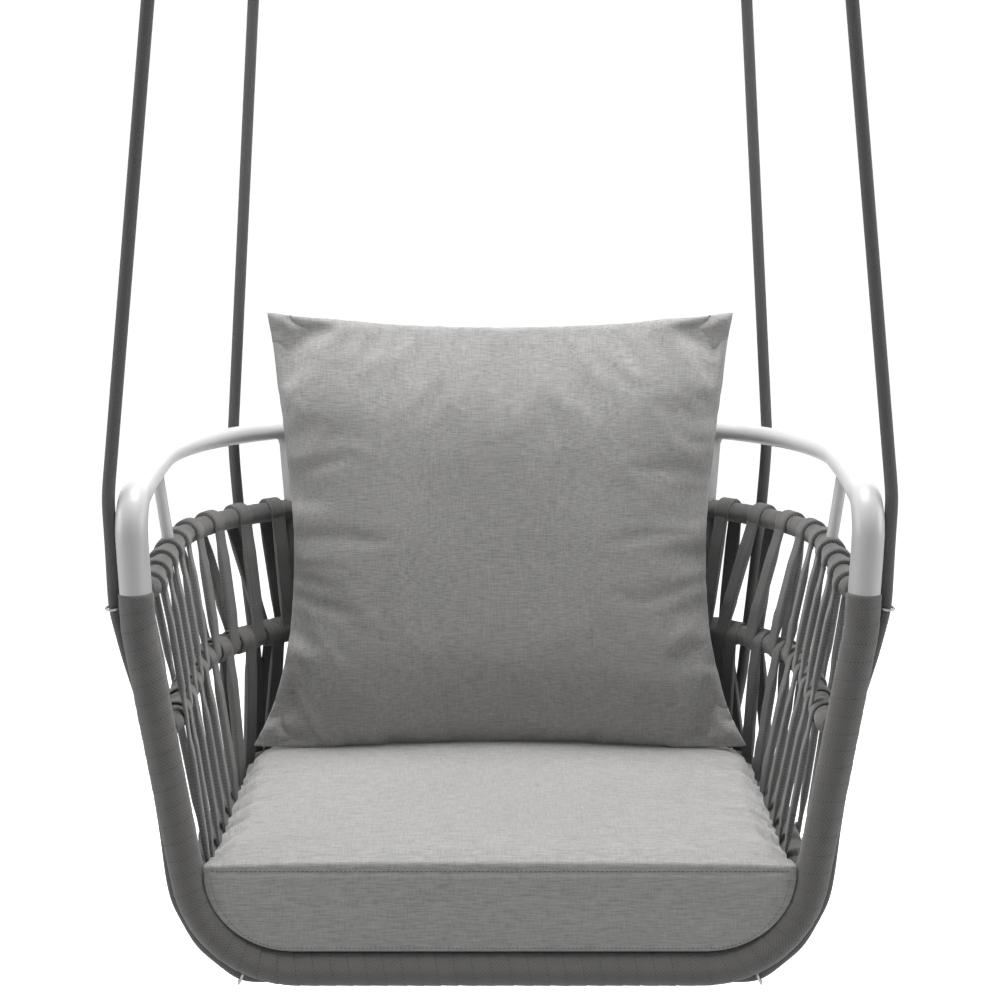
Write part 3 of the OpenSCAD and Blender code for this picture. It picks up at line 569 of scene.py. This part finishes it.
def fillet(name, at, towards, radius, reach, material):
    """A small weld bead: a ring that flares where one tube meets another."""
    along = unit(np.asarray(towards) - at)
    steps = np.linspace(0, 1, 7)
    path = at + along * (reach * steps[:, None])
    return round_tube(name, path, radius + 0.0028 * (1 - steps) ** 2, material, sides=24, start=(0, 1, 0))


posts = []
for s in (POST_S, UPRIGHT_S):
    for mirror in (False, True):
        station = 2 * ARM_LEN - s if mirror else s
        low = from_plan(station, UPPER_Z + 0.004, inset=UPPER_INSET)
        high = from_plan(station, -0.005)
        posts.append(round_tube("post", resampled([low, high], 0.008), POST_R, white, sides=24,
                                start=(0, 1, 0)))
        posts.append(fillet("bead", high - (0, 0, 0.006), low, POST_R, 0.008, white))
finish_piece(joined("arm_post_tubes", posts), "seat", "arm_posts", slot="white_coating")

# ---------------------------------------------------------------- tubes wound with belt


def wound(name, path, radius, material, sides, seed):
    """Belt wound round a tube along a path, each turn lapping the one before."""
    u, v = carried_frames(path, (0, 0, 1) if abs(tangents(path)[0][2]) < 0.9 else (0, 1, 0))
    s = lengths_along(path)
    wander = np.array([0.22 * noise.noise(Vector((x * 9, seed, 0.3))) for x in s])
    turns = s / BELT_W + wander
    angle = np.arange(sides) / sides
    within = (turns[:, None] - angle[None, :]) % 1.0
    lap = 0.0004 * (1 - within) - 0.0006 * np.abs(2 * within - 1) ** 16
    around = [(math.cos(a * 6.28) * 2, math.sin(a * 6.28) * 2 + seed) for a in angle[::4]]
    lumps = np.array([[0.0003 * noise.noise(Vector((x * 30, *spot))) for spot in around] for x in s])
    lumps = lumps.repeat(4, axis=1)[:, :sides]
    ring_r = radius + lap + lumps
    ring_r[0] -= 0.0009
    ring_r[-1] -= 0.0009
    cos, sin = np.cos(angle * 2 * math.pi), np.sin(angle * 2 * math.pi)
    across = cos[None, :, None] * u[:, None] + sin[None, :, None] * v[:, None]
    return skinned(name, path[:, None] + ring_r[:, :, None] * across, np.arange(sides + 1) / sides,
                   turns, material)


def leg_x(z):
    if z > LEG_BEND_Z:
        return LEG_X + z * math.tan(LEAN_TOP)
    return leg_bend_x + (z - LEG_BEND_Z) * math.tan(LEAN)


def wall_rail_path(inset, z, root_y=0.022):
    """A rail of the wall: out of the middle of the leg, then along the plan."""
    path = rail_path(ARM_PLAN, inset, z, 0.034, 0.003)
    joined_at = path[0] - seat_zero
    share = (root_y - 0.009) / (joined_at[1] - 0.009)
    root = seat_zero + (leg_x(z) + (joined_at[0] - leg_x(z)) * share, root_y, z)
    return eased(np.vstack([root, path, mirrored(root)]), 0.003, 0.004)


hoop = wound("hoop_belt_winding", hoop_path, HOOP_R + 0.0015, hoop_belt, 48, 1.0)
finish_piece(hoop, "seat", "hoop_wrap", slot="belt")
for name, path, radius, seed in (
        ("upper_rail", wall_rail_path(UPPER_INSET, UPPER_Z), RAIL_R, 2.0),
        ("middle_rail", wall_rail_path(MIDDLE_INSET, MIDDLE_Z), RAIL_R, 3.0),
        ("seat_rail", rail_path(SEAT_PLAN, 0.0, SEAT_Z, 0.022, 0.003), SEAT_RAIL_R, 4.0)):
    winding = wound(f"{name}_belt_winding", path, radius + 0.0023, rail_belt, 32, seed)
    finish_piece(winding, "seat", f"{name}_wrap", slot="belt")

windings = []
for mirror in (False, True):
    upper, middle, low = (
        from_plan(2 * ARM_LEN - UPRIGHT_S if mirror else UPRIGHT_S, UPPER_Z, inset=UPPER_INSET),
        from_plan(2 * ARM_LEN - UPRIGHT_S if mirror else UPRIGHT_S, MIDDLE_Z, inset=MIDDLE_INSET),
        from_plan((2 * ARM_LEN - UPRIGHT_S if mirror else UPRIGHT_S) * SEAT_LEN / ARM_LEN, SEAT_Z, SEAT_PLAN))
    for k, (a, b) in enumerate(((upper, middle), (middle, low))):
        windings.append(wound("turns", resampled([a, b], 0.003), POST_R + 0.0023, post_belt, 24, 5.0 + k))
finish_piece(joined("upright_belt_winding", windings), "seat", "upright_wrap", slot="belt")

# ---------------------------------------------------------------- woven belts


def ribbon(name, path, widths, seed, thickness=BELT_T):
    """A flat belt along a path, with a rounded section; thickness is one value or one a point."""
    along = tangents(path)
    wide = widths - along * np.sum(widths * along, axis=1, keepdims=True)
    wide = unit(wide)
    thick = np.cross(along, wide)
    half = BELT_W / 2
    t = np.broadcast_to(np.asarray(thickness, float) / 2, (len(path),))
    section = [(-1, 0), (-0.97, 0.6), (-0.88, 0.92), (-0.6, 1), (0, 0.96), (0.6, 1), (0.88, 0.92),
               (0.97, 0.6), (1, 0), (0.97, -0.6), (0.88, -0.92), (0.6, -1), (0, -0.96), (-0.6, -1),
               (-0.88, -0.92), (-0.97, -0.6)]
    s = lengths_along(path)
    cup = np.array([0.0007 * noise.noise(Vector((x * 14, seed, 7.7))) for x in s])
    rings = np.stack([path + wide * (half * x) + thick * (t * y + cup * (1 - x * x))[:, None]
                      for x, y in section], axis=1)
    across = [x / 2 for x, _ in section] + [section[0][0] / 2]
    return skinned(name, rings, across, s / BELT_W, belt_cloth)


def arc_round(plan, stations, inset, z, radius, angles):
    """Belt centre points round a rail: angle 0 is its outer side and 90 degrees its top."""
    points = []
    for s, a in zip(stations, angles):
        centre, normal = plan_at(plan, s, inset)
        lift = np.array([0, 0, math.sin(a)])
        points.append(seat_zero + centre + (0, 0, z) + radius * (math.cos(a) * normal + lift))
    return points


def woven_strap(name, s, inner, top_shift, slant, hitch, seed):
    """Over the upper rail, down one face of the wall, a hitch round the middle rail, on to the seat rail."""
    sign = 1 if inner else -1
    face = math.pi if inner else 0.0
    far = 0.0 if inner else math.pi
    share = SEAT_LEN / ARM_LEN
    r_top = RAIL_R + 0.0025 + STRAP_T * (0.55 if inner else 1.15)
    r_mid = RAIL_R + 0.0025 + STRAP_T * (0.55 if inner else 0.95)
    r_low = SEAT_RAIL_R + 0.0025 + STRAP_T * (0.55 if inner else 0.8)
    s0 = s + top_shift
    s1 = s0 + slant
    s2 = s1 + hitch
    s3 = s2 + slant
    over = np.radians(np.linspace(-25, 0, 5))
    top_angles = np.concatenate([far + sign * over, far + sign * np.radians(np.linspace(12, 172, 15))])
    top = arc_round(ARM_PLAN, [s0] * len(top_angles), UPPER_INSET, UPPER_Z, r_top, top_angles)
    if hitch:
        turn = np.linspace(0, 1, 33)
        middle = arc_round(ARM_PLAN, s1 + (s2 - s1) * turn, MIDDLE_INSET, MIDDLE_Z, r_mid,
                           face + sign * 2 * math.pi * turn)
        swell = np.sin(turn * math.pi)[:, None] * 0.0008
        middle = np.array(middle) + swell * (0, 0, 1)
    else:
        middle = arc_round(ARM_PLAN, [s1] * 3, MIDDLE_INSET, MIDDLE_Z, r_mid,
                           face + sign * np.radians((-8, 0, 8)))
    low_angles = face + sign * np.radians(np.linspace(8, 200, 15))
    low = arc_round(SEAT_PLAN, [s3 * share] * 15, 0.0, SEAT_Z, r_low, low_angles)
    corners = np.vstack([top, middle, low])
    first_half = len(middle) // 2
    stations = np.concatenate([[s0] * len(top), [s1] * first_half, [s2] * (len(middle) - first_half),
                               [s3] * len(low)])
    path = eased(corners, 0.004, 0.005)
    at = np.interp(lengths_along(path), np.linspace(0, lengths_along(path)[-1], len(stations)), stations)
    widths = np.array([plan_at(ARM_PLAN, x + 0.002)[0] - plan_at(ARM_PLAN, x - 0.002)[0] for x in at])
    height = path[:, 2] - seat_zero[2]
    free = np.min([np.abs(height - z) for z in (UPPER_Z, MIDDLE_Z, SEAT_Z)], axis=0)
    plump = np.clip((free - 0.018) / 0.030, 0, 1)
    return ribbon(name, path, unit(widths), seed, STRAP_T + STRAP_PLUMP * plump * plump * (3 - 2 * plump))


SLANT = 0.043
side_stations = [FIRST_STRAP + k * PITCH for k in range(SIDE_STRAPS)]
back_stations = [FIRST_STRAP + k * PITCH for k in range(SIDE_STRAPS, 2 * STRAP_COUNT - SIDE_STRAPS)]
left_stations = [2 * ARM_LEN - s for s in side_stations]


def capped_slant(s):
    """The belts' slant, less where it would cross the wound upright."""
    return max(0.0, min(SLANT, UPRIGHT_S - 0.020 - s))


strap_rows = {
    "inner_straps_right": [(s, True, 0, capped_slant(s), -BELT_W) for s in side_stations],
    "outer_straps_right": [(s, False, 0, 0, 0) for s in side_stations],
    "inner_straps_left": [(s, True, 0, 0, BELT_W if s < 2 * ARM_LEN - FIRST_STRAP - 0.001 else 0)
                          for s in left_stations],
    "outer_straps_left": [(s, False, 0, -capped_slant(2 * ARM_LEN - s), BELT_W) for s in left_stations],
    "inner_straps_back": [(s, True, 0, 0, 0) for s in back_stations],
    "outer_straps_back": [(s, False, BELT_W, -min(SLANT, s - UPRIGHT_S - 0.020 + BELT_W), BELT_W)
                          for s in back_stations],
}
for row, (name, straps) in enumerate(strap_rows.items()):
    belts = [woven_strap(f"belt_{k}", *strap, seed=row * 20.0 + k * 1.3) for k, strap in enumerate(straps)]
    finish_piece(joined(f"{name}_woven", belts), "seat", name, slot="belt")

# ---------------------------------------------------------------- deck under the cushion

CUSHION_BASE_Z, SEAT_HALF_W, DECK_CORNER_R, DECK_GAP = -0.534, 0.340, 0.095, 0.001
DECK_CORNER_X = SEAT_HALF_W - DECK_CORNER_R
DECK_CORNER_Z = CUSHION_BASE_Z + DECK_CORNER_R
BELT_CAD_T = 0.0025


def deck_belt(name, outline, wide, seed):
    path = seat_zero + eased(outline, 0.004, 0.006)
    return ribbon(name, path, np.tile(np.array(wide, float), (len(path), 1)), seed)


cross = []
for k in range(8):
    y = 0.052 + 0.068 * k
    r = DECK_CORNER_R + DECK_GAP + BELT_CAD_T / 2
    lowest = math.radians(14) if y < SEAT_SIDE_LEN else math.pi / 2 - 0.02
    half = [(DECK_CORNER_X + r * math.cos(a), y, DECK_CORNER_Z - r * math.sin(a))
            for a in np.linspace(lowest, math.pi / 2, 14)] + [(0, y, DECK_CORNER_Z - r)]
    cross.append(deck_belt("cross", both_sides(half), (0, 1, 0), 150 + k))
finish_piece(joined("deck_cross_belts_woven", cross), "seat", "deck_cross_belts", slot="belt")

lengthwise = []
for k in range(-3, 4):
    x = 0.076 * k
    z = CUSHION_BASE_Z - DECK_GAP - BELT_CAD_T * 1.5 - 0.0002
    edge = SEAT_BACK_Y + math.sqrt((SEAT_BACK_R - SEAT_RAIL_R - BELT_CAD_T * 2 - 0.0006) ** 2
                                   - (abs(x) + BELT_W / 2) ** 2)
    outline = [(x, 0.0205, z), (x, edge - 0.009, z), (x, edge + 0.001, z + 0.012),
               (x, edge + 0.001, SEAT_Z - 0.006)]
    lengthwise.append(deck_belt("lengthwise", outline, (1, 0, 0), 170 + k))
finish_piece(joined("deck_length_belts_woven", lengthwise), "seat", "deck_length_belts", slot="belt")

ribs = []
RIB_R = 0.008
rib_arc = DECK_CORNER_R + DECK_GAP + 2 * BELT_CAD_T + 0.0004 + RIB_R
for y in (0.170, 0.340, 0.500):
    pull = 0.010 if y > SEAT_SIDE_LEN else 0.0
    half = [(SEAT_SIDE_X - 0.004 - pull, y, SEAT_Z)] + [
        (DECK_CORNER_X - pull + rib_arc * math.cos(a), y, DECK_CORNER_Z - rib_arc * math.sin(a))
        for a in np.radians(np.linspace(20, 90, 16))] + [(0, y, DECK_CORNER_Z - rib_arc)]
    ribs.append(round_tube("rib", seat_zero + eased(both_sides(half), 0.006, 0.006), RIB_R, white,
                           sides=24, start=(0, 1, 0)))
finish_piece(joined("seat_rib_tubes", ribs), "seat", "seat_ribs", slot="white_coating")

# ---------------------------------------------------------------- wire rings


def wire_ring(name, centre, axis):
    axis = unit(np.asarray(axis, float))
    u = unit(np.cross(axis, (0, 1, 0) if abs(axis[1]) < 0.8 else (0, 0, 1)))
    v = np.cross(axis, u)
    angle = np.linspace(0, 2 * math.pi, 49)
    path = centre + 0.0099 * (np.cos(angle)[:, None] * u + np.sin(angle)[:, None] * v)
    return round_tube(name, path, 0.0015, ring_steel, sides=12, start=axis)


def ring_pair(name, route, k, node):
    route = np.array(route)
    rings = []
    for side in (1, -1):
        axis = (route[k + 1] - route[k - 1]) * (side, 1, 1)
        rings.append(wire_ring(name, seat_zero + route[k] * (side, 1, 1), axis))
    finish_piece(joined(name, rings), "seat", node, slot="stainless")


ring_pair("upper_rings", front_route, 1, "upper_rope_rings")
ring_pair("lower_rings", front_route, 9, "lower_rope_rings")
ring_pair("rear_rings", rear_route, 7, "rear_rope_rings")

# ---------------------------------------------------------------- cushions


def grid_solid(name, faces_front, faces_back):
    """Two matching grids of points (rows, columns, 3), sewn round their shared rim."""
    rows, cols, _ = faces_front.shape
    count = rows * cols
    inner = np.zeros((rows, cols), bool)
    inner[1:-1, 1:-1] = True
    index_front = np.arange(count).reshape(rows, cols)
    index_back = index_front.copy()
    index_back[inner] = count + np.arange(inner.sum())
    points = np.vstack([faces_front.reshape(-1, 3), faces_back[inner]])
    a = index_front
    b = index_back
    quads = np.stack([a[:-1, :-1], a[:-1, 1:], a[1:, 1:], a[1:, :-1]], axis=2).reshape(-1, 4)
    quads_b = np.stack([b[:-1, :-1], b[1:, :-1], b[1:, 1:], b[:-1, 1:]], axis=2).reshape(-1, 4)
    mesh = bpy.data.meshes.new(name)
    mesh.from_pydata(points.tolist(), [], quads.tolist() + quads_b.tolist())
    mesh.polygons.foreach_set("use_smooth", np.ones(len(mesh.polygons), bool))
    return link(name, mesh, cushion_cloth)


def points_of(obj):
    flat = np.zeros(len(obj.data.vertices) * 3)
    obj.data.vertices.foreach_get("co", flat)
    return flat.reshape(-1, 3)


def set_points(obj, points):
    obj.data.vertices.foreach_set("co", np.asarray(points, float).ravel())
    obj.data.update()


def applied(obj, modifier):
    bpy.context.view_layer.objects.active = obj
    bpy.ops.object.modifier_apply(modifier=modifier.name)


def capped(moves, most):
    """Movements cut to a greatest length."""
    far = np.linalg.norm(moves, axis=1, keepdims=True)
    return moves * np.minimum(1, most / np.maximum(far, 1e-9))


def puffed(obj, pressure, frames, tension=15.0, bending=0.4, pinned="", slack=0.0):
    """Blows a closed skin up as cloth, in place, and returns its points before and after."""
    before = points_of(obj)
    cloth = obj.modifiers.new("cloth", "CLOTH")
    settings = cloth.settings
    settings.quality = 6
    settings.use_pressure = True
    settings.uniform_pressure_force = pressure
    settings.tension_stiffness = settings.compression_stiffness = tension
    settings.bending_stiffness = bending
    settings.effector_weights.gravity = 0
    settings.vertex_group_mass = pinned
    settings.shrink_min = -slack
    cloth.point_cache.frame_start, cloth.point_cache.frame_end = 1, frames
    for number in range(1, frames + 1):
        bpy.context.scene.frame_set(number)
    graph = bpy.context.evaluated_depsgraph_get()
    blown = obj.evaluated_get(graph)
    flat = np.zeros(len(blown.data.vertices) * 3)
    blown.data.vertices.foreach_get("co", flat)
    obj.modifiers.remove(cloth)
    bpy.context.scene.frame_set(1)
    return before, flat.reshape(-1, 3)


def subdivided(obj, levels=1):
    made = obj.modifiers.new("fine", "SUBSURF")
    made.levels = levels
    applied(obj, made)


def stitches(name, line, surface, lift, spacing=0.0055, length=0.0034, radius=0.00045):
    """A row of thread stitches laid on a surface along a line."""
    tree = BVHTree.FromObject(surface, bpy.context.evaluated_depsgraph_get())
    at = resampled(line, spacing)
    along = tangents(at)
    made = []
    for p, t in zip(at, along):
        hit, normal, _, _ = tree.find_nearest(Vector(p))
        centre = np.array(hit + normal * lift)
        path = np.array([centre + t * x for x in np.linspace(-length / 2, length / 2, 4)])
        made.append(round_tube(name, path, radius * np.array([0.5, 1, 1, 0.5]), thread, sides=6,
                               start=(0.1, 0.2, 1)))
    return joined(name, made)


# Pillow: two panels sewn together along a hollow outline and blown up, leaned against the wall
PILLOW_W, PILLOW_T = 0.556, 0.154
pillow_low, pillow_high = (np.array(v) - seat_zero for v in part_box("pillow_cover"))
columns, rows = 72, 70
u, v = np.meshgrid(np.linspace(-1, 1, columns), np.linspace(-1, 1, rows))
base_z, top_z = pillow_low[2] - 0.0005, pillow_high[2] + 0.002


def pillow_sheet(face):
    """A panel before the last of the filling goes in: domed, hollow-sided, with pointed corners."""
    crown = ((1 - np.abs(u) ** 2.6) * (1 - np.abs(v) ** 2.2)) ** 0.62
    ear = np.abs(u * v) ** 7
    spread = np.where(v > 0, 0.029 * np.abs(v) ** 1.3, 0.057 * np.abs(v) ** 2.6)
    x = u * (PILLOW_W / 2 + spread + 0.003 * ear)
    z = base_z + (v + 1) / 2 * (top_z - base_z)
    z -= np.where(v > 0, 0.024 * (1 - u * u) * np.abs(v) ** 3, -0.008 * u ** 4 * v ** 4)
    ripple = 0.0012 * np.sin(9 * u + 3.1 * v) * np.sin(7.3 * v - 2 * u)
    return np.stack([x, face * (crown * 0.058 + ripple * crown), z], axis=2)


def side_puckers(across, up, through):
    """Small folds that run in from the sewn edges, deepest at the sides."""
    from_side, from_end = 1 - np.abs(across), 1 - np.abs(up)
    phase = 1.7 * np.sin(up * 5.3 + np.sign(across)) + 0.9 * np.sin(up * 13.1)
    side = np.sin(up * 21 + phase) * np.exp(-(from_side / 0.16) ** 1.3) * np.clip(from_side / 0.03, 0, 1)
    phase = 1.5 * np.sin(across * 6.1 + 2) + 0.8 * np.sin(across * 14.7)
    end = np.sin(across * 19 + phase) * np.exp(-(from_end / 0.11) ** 1.3) * np.clip(from_end / 0.03, 0, 1)
    return np.sign(through) * (0.0042 * side + 0.0022 * end)


pillow = grid_solid("back_pillow", pillow_sheet(-1), pillow_sheet(1))
rim = pillow.vertex_groups.new(name="sewn_edge")
on_rim = np.zeros((rows, columns), bool)
on_rim[[0, -1], :] = True
on_rim[:, [0, -1]] = True
rim.add(np.flatnonzero(on_rim.ravel()).tolist(), 1.0, "REPLACE")
before, filled = puffed(pillow, 5.0, 20, pinned=rim.name, slack=0.035)
filled = before + capped(filled - before, 0.030)
panel_u = np.concatenate([u.ravel(), u[1:-1, 1:-1].ravel()])
panel_v = np.concatenate([v.ravel(), v[1:-1, 1:-1].ravel()])
filled[:, 1] *= PILLOW_T / (filled[:, 1].max() - filled[:, 1].min())
filled[:, 1] += side_puckers(panel_u, panel_v, filled[:, 1])
bow = 0.070 * np.clip(1 - panel_u ** 2, 0, 1) ** 1.6 * (0.5 + 0.5 * (1 - panel_v ** 2)) + 0.012 * panel_v
set_points(pillow, filled + seat_zero + np.stack([0 * bow, 0.436 + bow, 0 * bow], axis=1))
subdivided(pillow)
finish_piece(pillow, "back_cushion", "pillow_cover", "pillow_fill", "pillow_zip", slot="cushion_fabric")

# Seat cushion: a boxed pad whose front panel follows the hoop
seat_low, seat_high = (np.array(p) - seat_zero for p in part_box("seat_cover"))
START_IN = 0.0010
PAD_SIDE_LEN, PAD_CORNER_R = 0.400, 0.125
PAD_CORNER_X = SEAT_HALF_W - PAD_CORNER_R
PAD_BACK_R = PAD_CORNER_R + PAD_CORNER_X / math.cos(SEAT_CORNER_TURN)
PAD_BACK_Y = PAD_SIDE_LEN - (PAD_BACK_R - PAD_CORNER_R) * math.sin(SEAT_CORNER_TURN)


def seat_section(count, shrink):
    """Right half of the outline across the pad, from the top's middle round to the base's middle."""
    top = seat_high[2] - shrink
    r = DECK_CORNER_R - shrink
    edge = [(SEAT_HALF_W - shrink - 0.004 * (1 - math.cos(a)), top - 0.004 * (1 - math.sin(a)))
            for a in np.linspace(math.pi / 2, 0, 4)]
    side = [(DECK_CORNER_X + r * math.cos(a), DECK_CORNER_Z - r * math.sin(a))
            for a in np.linspace(0, math.pi / 2, 18)]
    outline = np.array([(0, top)] + edge + side + [(0, seat_low[2] + shrink)])
    s = lengths_along(outline)
    at = np.linspace(0, s[-1], count)
    return np.stack([np.interp(at, s, outline[:, 0]), np.interp(at, s, outline[:, 1])], axis=1)


def pad_half_width(y):
    """Half the pad's width at a depth: straight sides, rear corners and a bowed back."""
    if y <= PAD_SIDE_LEN:
        return SEAT_HALF_W - START_IN
    r = PAD_CORNER_R - START_IN
    if y < PAD_SIDE_LEN + r * math.sin(SEAT_CORNER_TURN):
        return PAD_CORNER_X + math.sqrt(r * r - (y - PAD_SIDE_LEN) ** 2)
    return math.sqrt(max((PAD_BACK_R - START_IN) ** 2 - (y - PAD_BACK_Y) ** 2, 1e-6))


def seat_block():
    half = seat_section(60, START_IN)
    ring = np.vstack([half, (half * (-1, 1))[-2:0:-1]])
    stations = np.linspace(seat_low[1] + START_IN, PAD_BACK_Y + PAD_BACK_R - START_IN, 120)
    rings = np.array([[(np.clip(x, -w, w), y, z) for x, z in ring]
                      for y, w in zip(stations, map(pad_half_width, stations))])
    return skinned("seat_pad", rings + seat_zero, np.zeros(len(ring) + 1), stations, cushion_cloth)


pad = seat_block()
remesh = pad.modifiers.new("voxels", "REMESH")
remesh.mode = "VOXEL"
remesh.voxel_size = 0.0055
remesh.use_smooth_shade = True
applied(pad, remesh)
start = points_of(pad) - seat_zero
outline = seat_section(240, START_IN)
to_outline = np.array([np.hypot(outline[:, 0] - abs(px), outline[:, 1] - pz).min()
                       for px, _, pz in start])
held = (start[:, 2] < seat_low[2] + 0.008) | ((start[:, 1] < seat_low[1] + 0.007) & (to_outline < 0.007))
group = pad.vertex_groups.new(name="sewn_front_and_base")
group.add(np.flatnonzero(held).tolist(), 1.0, "REPLACE")
before, after = puffed(pad, 4.0, 14, pinned=group.name)
set_points(pad, before + capped(after - before, 0.006))
subdivided(pad)

# The pad swells only upwards: its sides and base stay by the CAD pad, its front fills the hoop
local = points_of(pad) - seat_zero
near_front = np.clip((0.034 - local[:, 1]) / 0.034, 0, 1)
drop = -np.interp(local[:, 1], (-0.011, 0.0, 0.012, 0.034), (0.0032, -0.0032, -0.0032, 0))
flat_base = (local[:, 2] < seat_low[2] + 0.006) & (np.abs(local[:, 0]) <= DECK_CORNER_X)
local[:, 2] = np.where(flat_base, seat_low[2] - drop, np.maximum(local[:, 2], seat_low[2] - drop))
dx = np.maximum(np.abs(local[:, 0]) - DECK_CORNER_X, 0)
dz = np.minimum(local[:, 2] - DECK_CORNER_Z, 0)
arm = np.maximum(np.hypot(dx, dz), 0.001)
low_side = (dz < 0) & (dx > 0)
rim_r = DECK_CORNER_R - 0.0003 + (0.0035 * near_front * dx ** 2 + drop * dz ** 2) / arm ** 2
reach = np.where(arm > DECK_CORNER_R - 0.010, rim_r / arm, 1)
sx = np.sign(local[:, 0])
local[low_side, 0] = (sx * (DECK_CORNER_X + dx * reach))[low_side]
local[low_side, 2] = (DECK_CORNER_Z + dz * reach)[low_side]
at_side = (np.abs(local[:, 0]) > SEAT_HALF_W - 0.006) & (local[:, 2] >= DECK_CORNER_Z)
local[at_side, 0] = (sx * (SEAT_HALF_W - 0.0003 + 0.0035 * near_front))[at_side]
local[:, 1] = np.maximum(local[:, 1], seat_low[1] + 0.0004)
x, y, z = local.T

# Crown, then gathers along both side edges of the top panel
top = np.clip((z - (seat_high[2] - 0.014)) / 0.012, 0, 1)
crown = np.clip(1 - (x / SEAT_HALF_W) ** 4, 0, 1) * np.clip(1 - ((y - 0.24) / 0.33) ** 4, 0, 1)
edge = np.clip((np.abs(x) - 0.235) / 0.095, 0, 1)
gather = np.sin(y * 150 + 2.1 * np.sin(y * 37) + np.sign(x) * 0.8) * 0.5 + 0.5
fade = np.clip(y / 0.06, 0, 1) * np.clip((0.42 - y) / 0.05, 0, 1)
local[:, 2] += top * (0.007 * crown - 0.0055 * gather * edge ** 1.4 * fade)
near_side = np.clip((np.abs(x) - 0.30) / 0.03, 0, 1)
local[:, 0] -= np.sign(x) * np.clip((z + 0.50) / 0.05, 0, 1) * 0.0025 * gather * near_side * fade

# Sewn edges of the front panel: a groove just inside its outline
SEAM_TOP = seat_high[2] - 0.004
panel = np.flatnonzero(local[:, 1] < seat_low[1] + 0.012)
outline = seat_section(240, 0.0)
flat = np.stack([np.abs(local[panel, 0]), local[panel, 2]], axis=1)
inside = np.sqrt(((flat[:, None] - outline[None]) ** 2).sum(axis=2).min(axis=1))
on_front = np.clip((0.012 + seat_low[1] - local[panel, 1]) / 0.006, 0, 1)
groove = np.exp(-((inside - 0.0085) / 0.0024) ** 2) * on_front
bulge = np.clip((inside - 0.010) / 0.020, 0, 1)
local[panel, 1] += 0.0016 * groove - 0.0004 * bulge
set_points(pad, local + seat_zero)
finish_piece(pad, "seat_cushion", "seat_cover", "seat_foam", "seat_zip", slot="cushion_fabric")

front_y = seat_low[1] + 0.001
top_line = [seat_zero + (a, front_y, SEAM_TOP - 0.0045) for a in np.linspace(-0.333, 0.333, 40)]
hem = seat_section(200, 0.0045)
hem = hem[hem[:, 1] < SEAM_TOP - 0.012]
hem_line = np.array([seat_zero + (x, front_y, z) for x, z in np.vstack([hem, (hem * (-1, 1))[::-1]])])
rows_of_stitches = joined("front_panel_stitches", [
    stitches("top_row", np.array(top_line), pad, 0.0002),
    stitches("hem_row", hem_line, pad, 0.0001, spacing=0.0050, length=0.0030, radius=0.00035)])
finish_piece(rows_of_stitches, "seat_cushion", slot="cushion_fabric")

# ---------------------------------------------------------------- finish of the carried-over CAD nodes

steel_nodes = ["ceiling_plate_front_left", "ceiling_plate_front_right", "ceiling_plate_rear_left",
               "ceiling_plate_rear_right", "ceiling_eyes", "front_carabiners", "front_gate_pins",
               "front_thimbles", "front_ferrules", "rear_carabiners", "rear_gate_pins", "rear_thimbles",
               "rear_ferrules", "gate_front_left", "gate_front_right", "gate_rear_left", "gate_rear_right"]
painted_nodes = ["front_hoop", "upper_rail", "middle_rail", "seat_rail", "rear_uprights"]
for names, material in ((steel_nodes, steel), (painted_nodes, white)):
    for name in names:
        node = frame["nodes"][name]
        node.data.materials.clear()
        node.data.materials.append(material)

# ---------------------------------------------------------------- floor and light


def area_light(name, place, aim, size, power, tone=(1, 1, 1)):
    data = bpy.data.lights.new(name, "AREA")
    data.shape = "RECTANGLE"
    data.size, data.size_y = size
    data.energy = power
    data.color = tone
    lamp = bpy.data.objects.new(name, data)
    lamp.location = place
    lamp.rotation_euler = (Vector(aim) - Vector(place)).to_track_quat("-Z", "Y").to_euler()
    bpy.context.scene.collection.objects.link(lamp)


def studio_surface(name, obj, glow):
    """A pale stage surface that the camera sees, with a little light of its own."""
    finish = Surface(name, 0.9, Emission_Color=(1, 1, 1, 1), Emission_Strength=glow)
    finish.colour(finish.blend(finish.noise(2.0), grey(0.86), grey(0.90)))
    obj.name = name
    obj.data.materials.append(finish.material)
    obj.visible_diffuse = False
    obj.visible_shadow = False


bpy.ops.mesh.primitive_circle_add(vertices=96, radius=38, fill_type="NGON",
                                  location=(0, 0, cad_box[0][2] - 0.42))
studio_surface("floor", bpy.context.active_object, 0.95)
bpy.ops.mesh.primitive_uv_sphere_add(segments=48, ring_count=24, radius=40)
studio_surface("backdrop", bpy.context.active_object, 1.0)

seat_middle = Vector(seat_zero) + Vector((0, 0.25, -0.25))
area_light("overhead", (0, 0.0, 1.6), seat_middle, (1.9, 1.3), 90)
area_light("front_left", (-2.4, -2.6, 1.3), seat_middle, (1.4, 1.4), 2)
area_light("front_right", (2.4, -2.6, 1.3), seat_middle, (1.4, 1.4), 1.5)
for side in (-1, 1):
    aim = Vector(seat_zero) + Vector((-0.4 * side, 0.1, -0.2))
    area_light(f"side_{side}", (2.2 * side, -0.40, -0.45), aim, (1.3, 0.9), 18)
area_light("floor_bounce", (0, -1.7, -1.9), Vector(seat_zero) + Vector((0, 0, -0.35)), (3.0, 1.0), 12)
area_light("rear", (0.6, 3.0, 0.5), seat_middle, (1.8, 1.4), 20)
world = bpy.data.worlds.new("studio")
world.use_nodes = True
world.node_tree.nodes["Background"].inputs["Color"].default_value = (1, 1, 1, 1)
world.node_tree.nodes["Background"].inputs["Strength"].default_value = 0.04
bpy.context.scene.world = world
bpy.context.scene.view_settings.view_transform = "Standard"
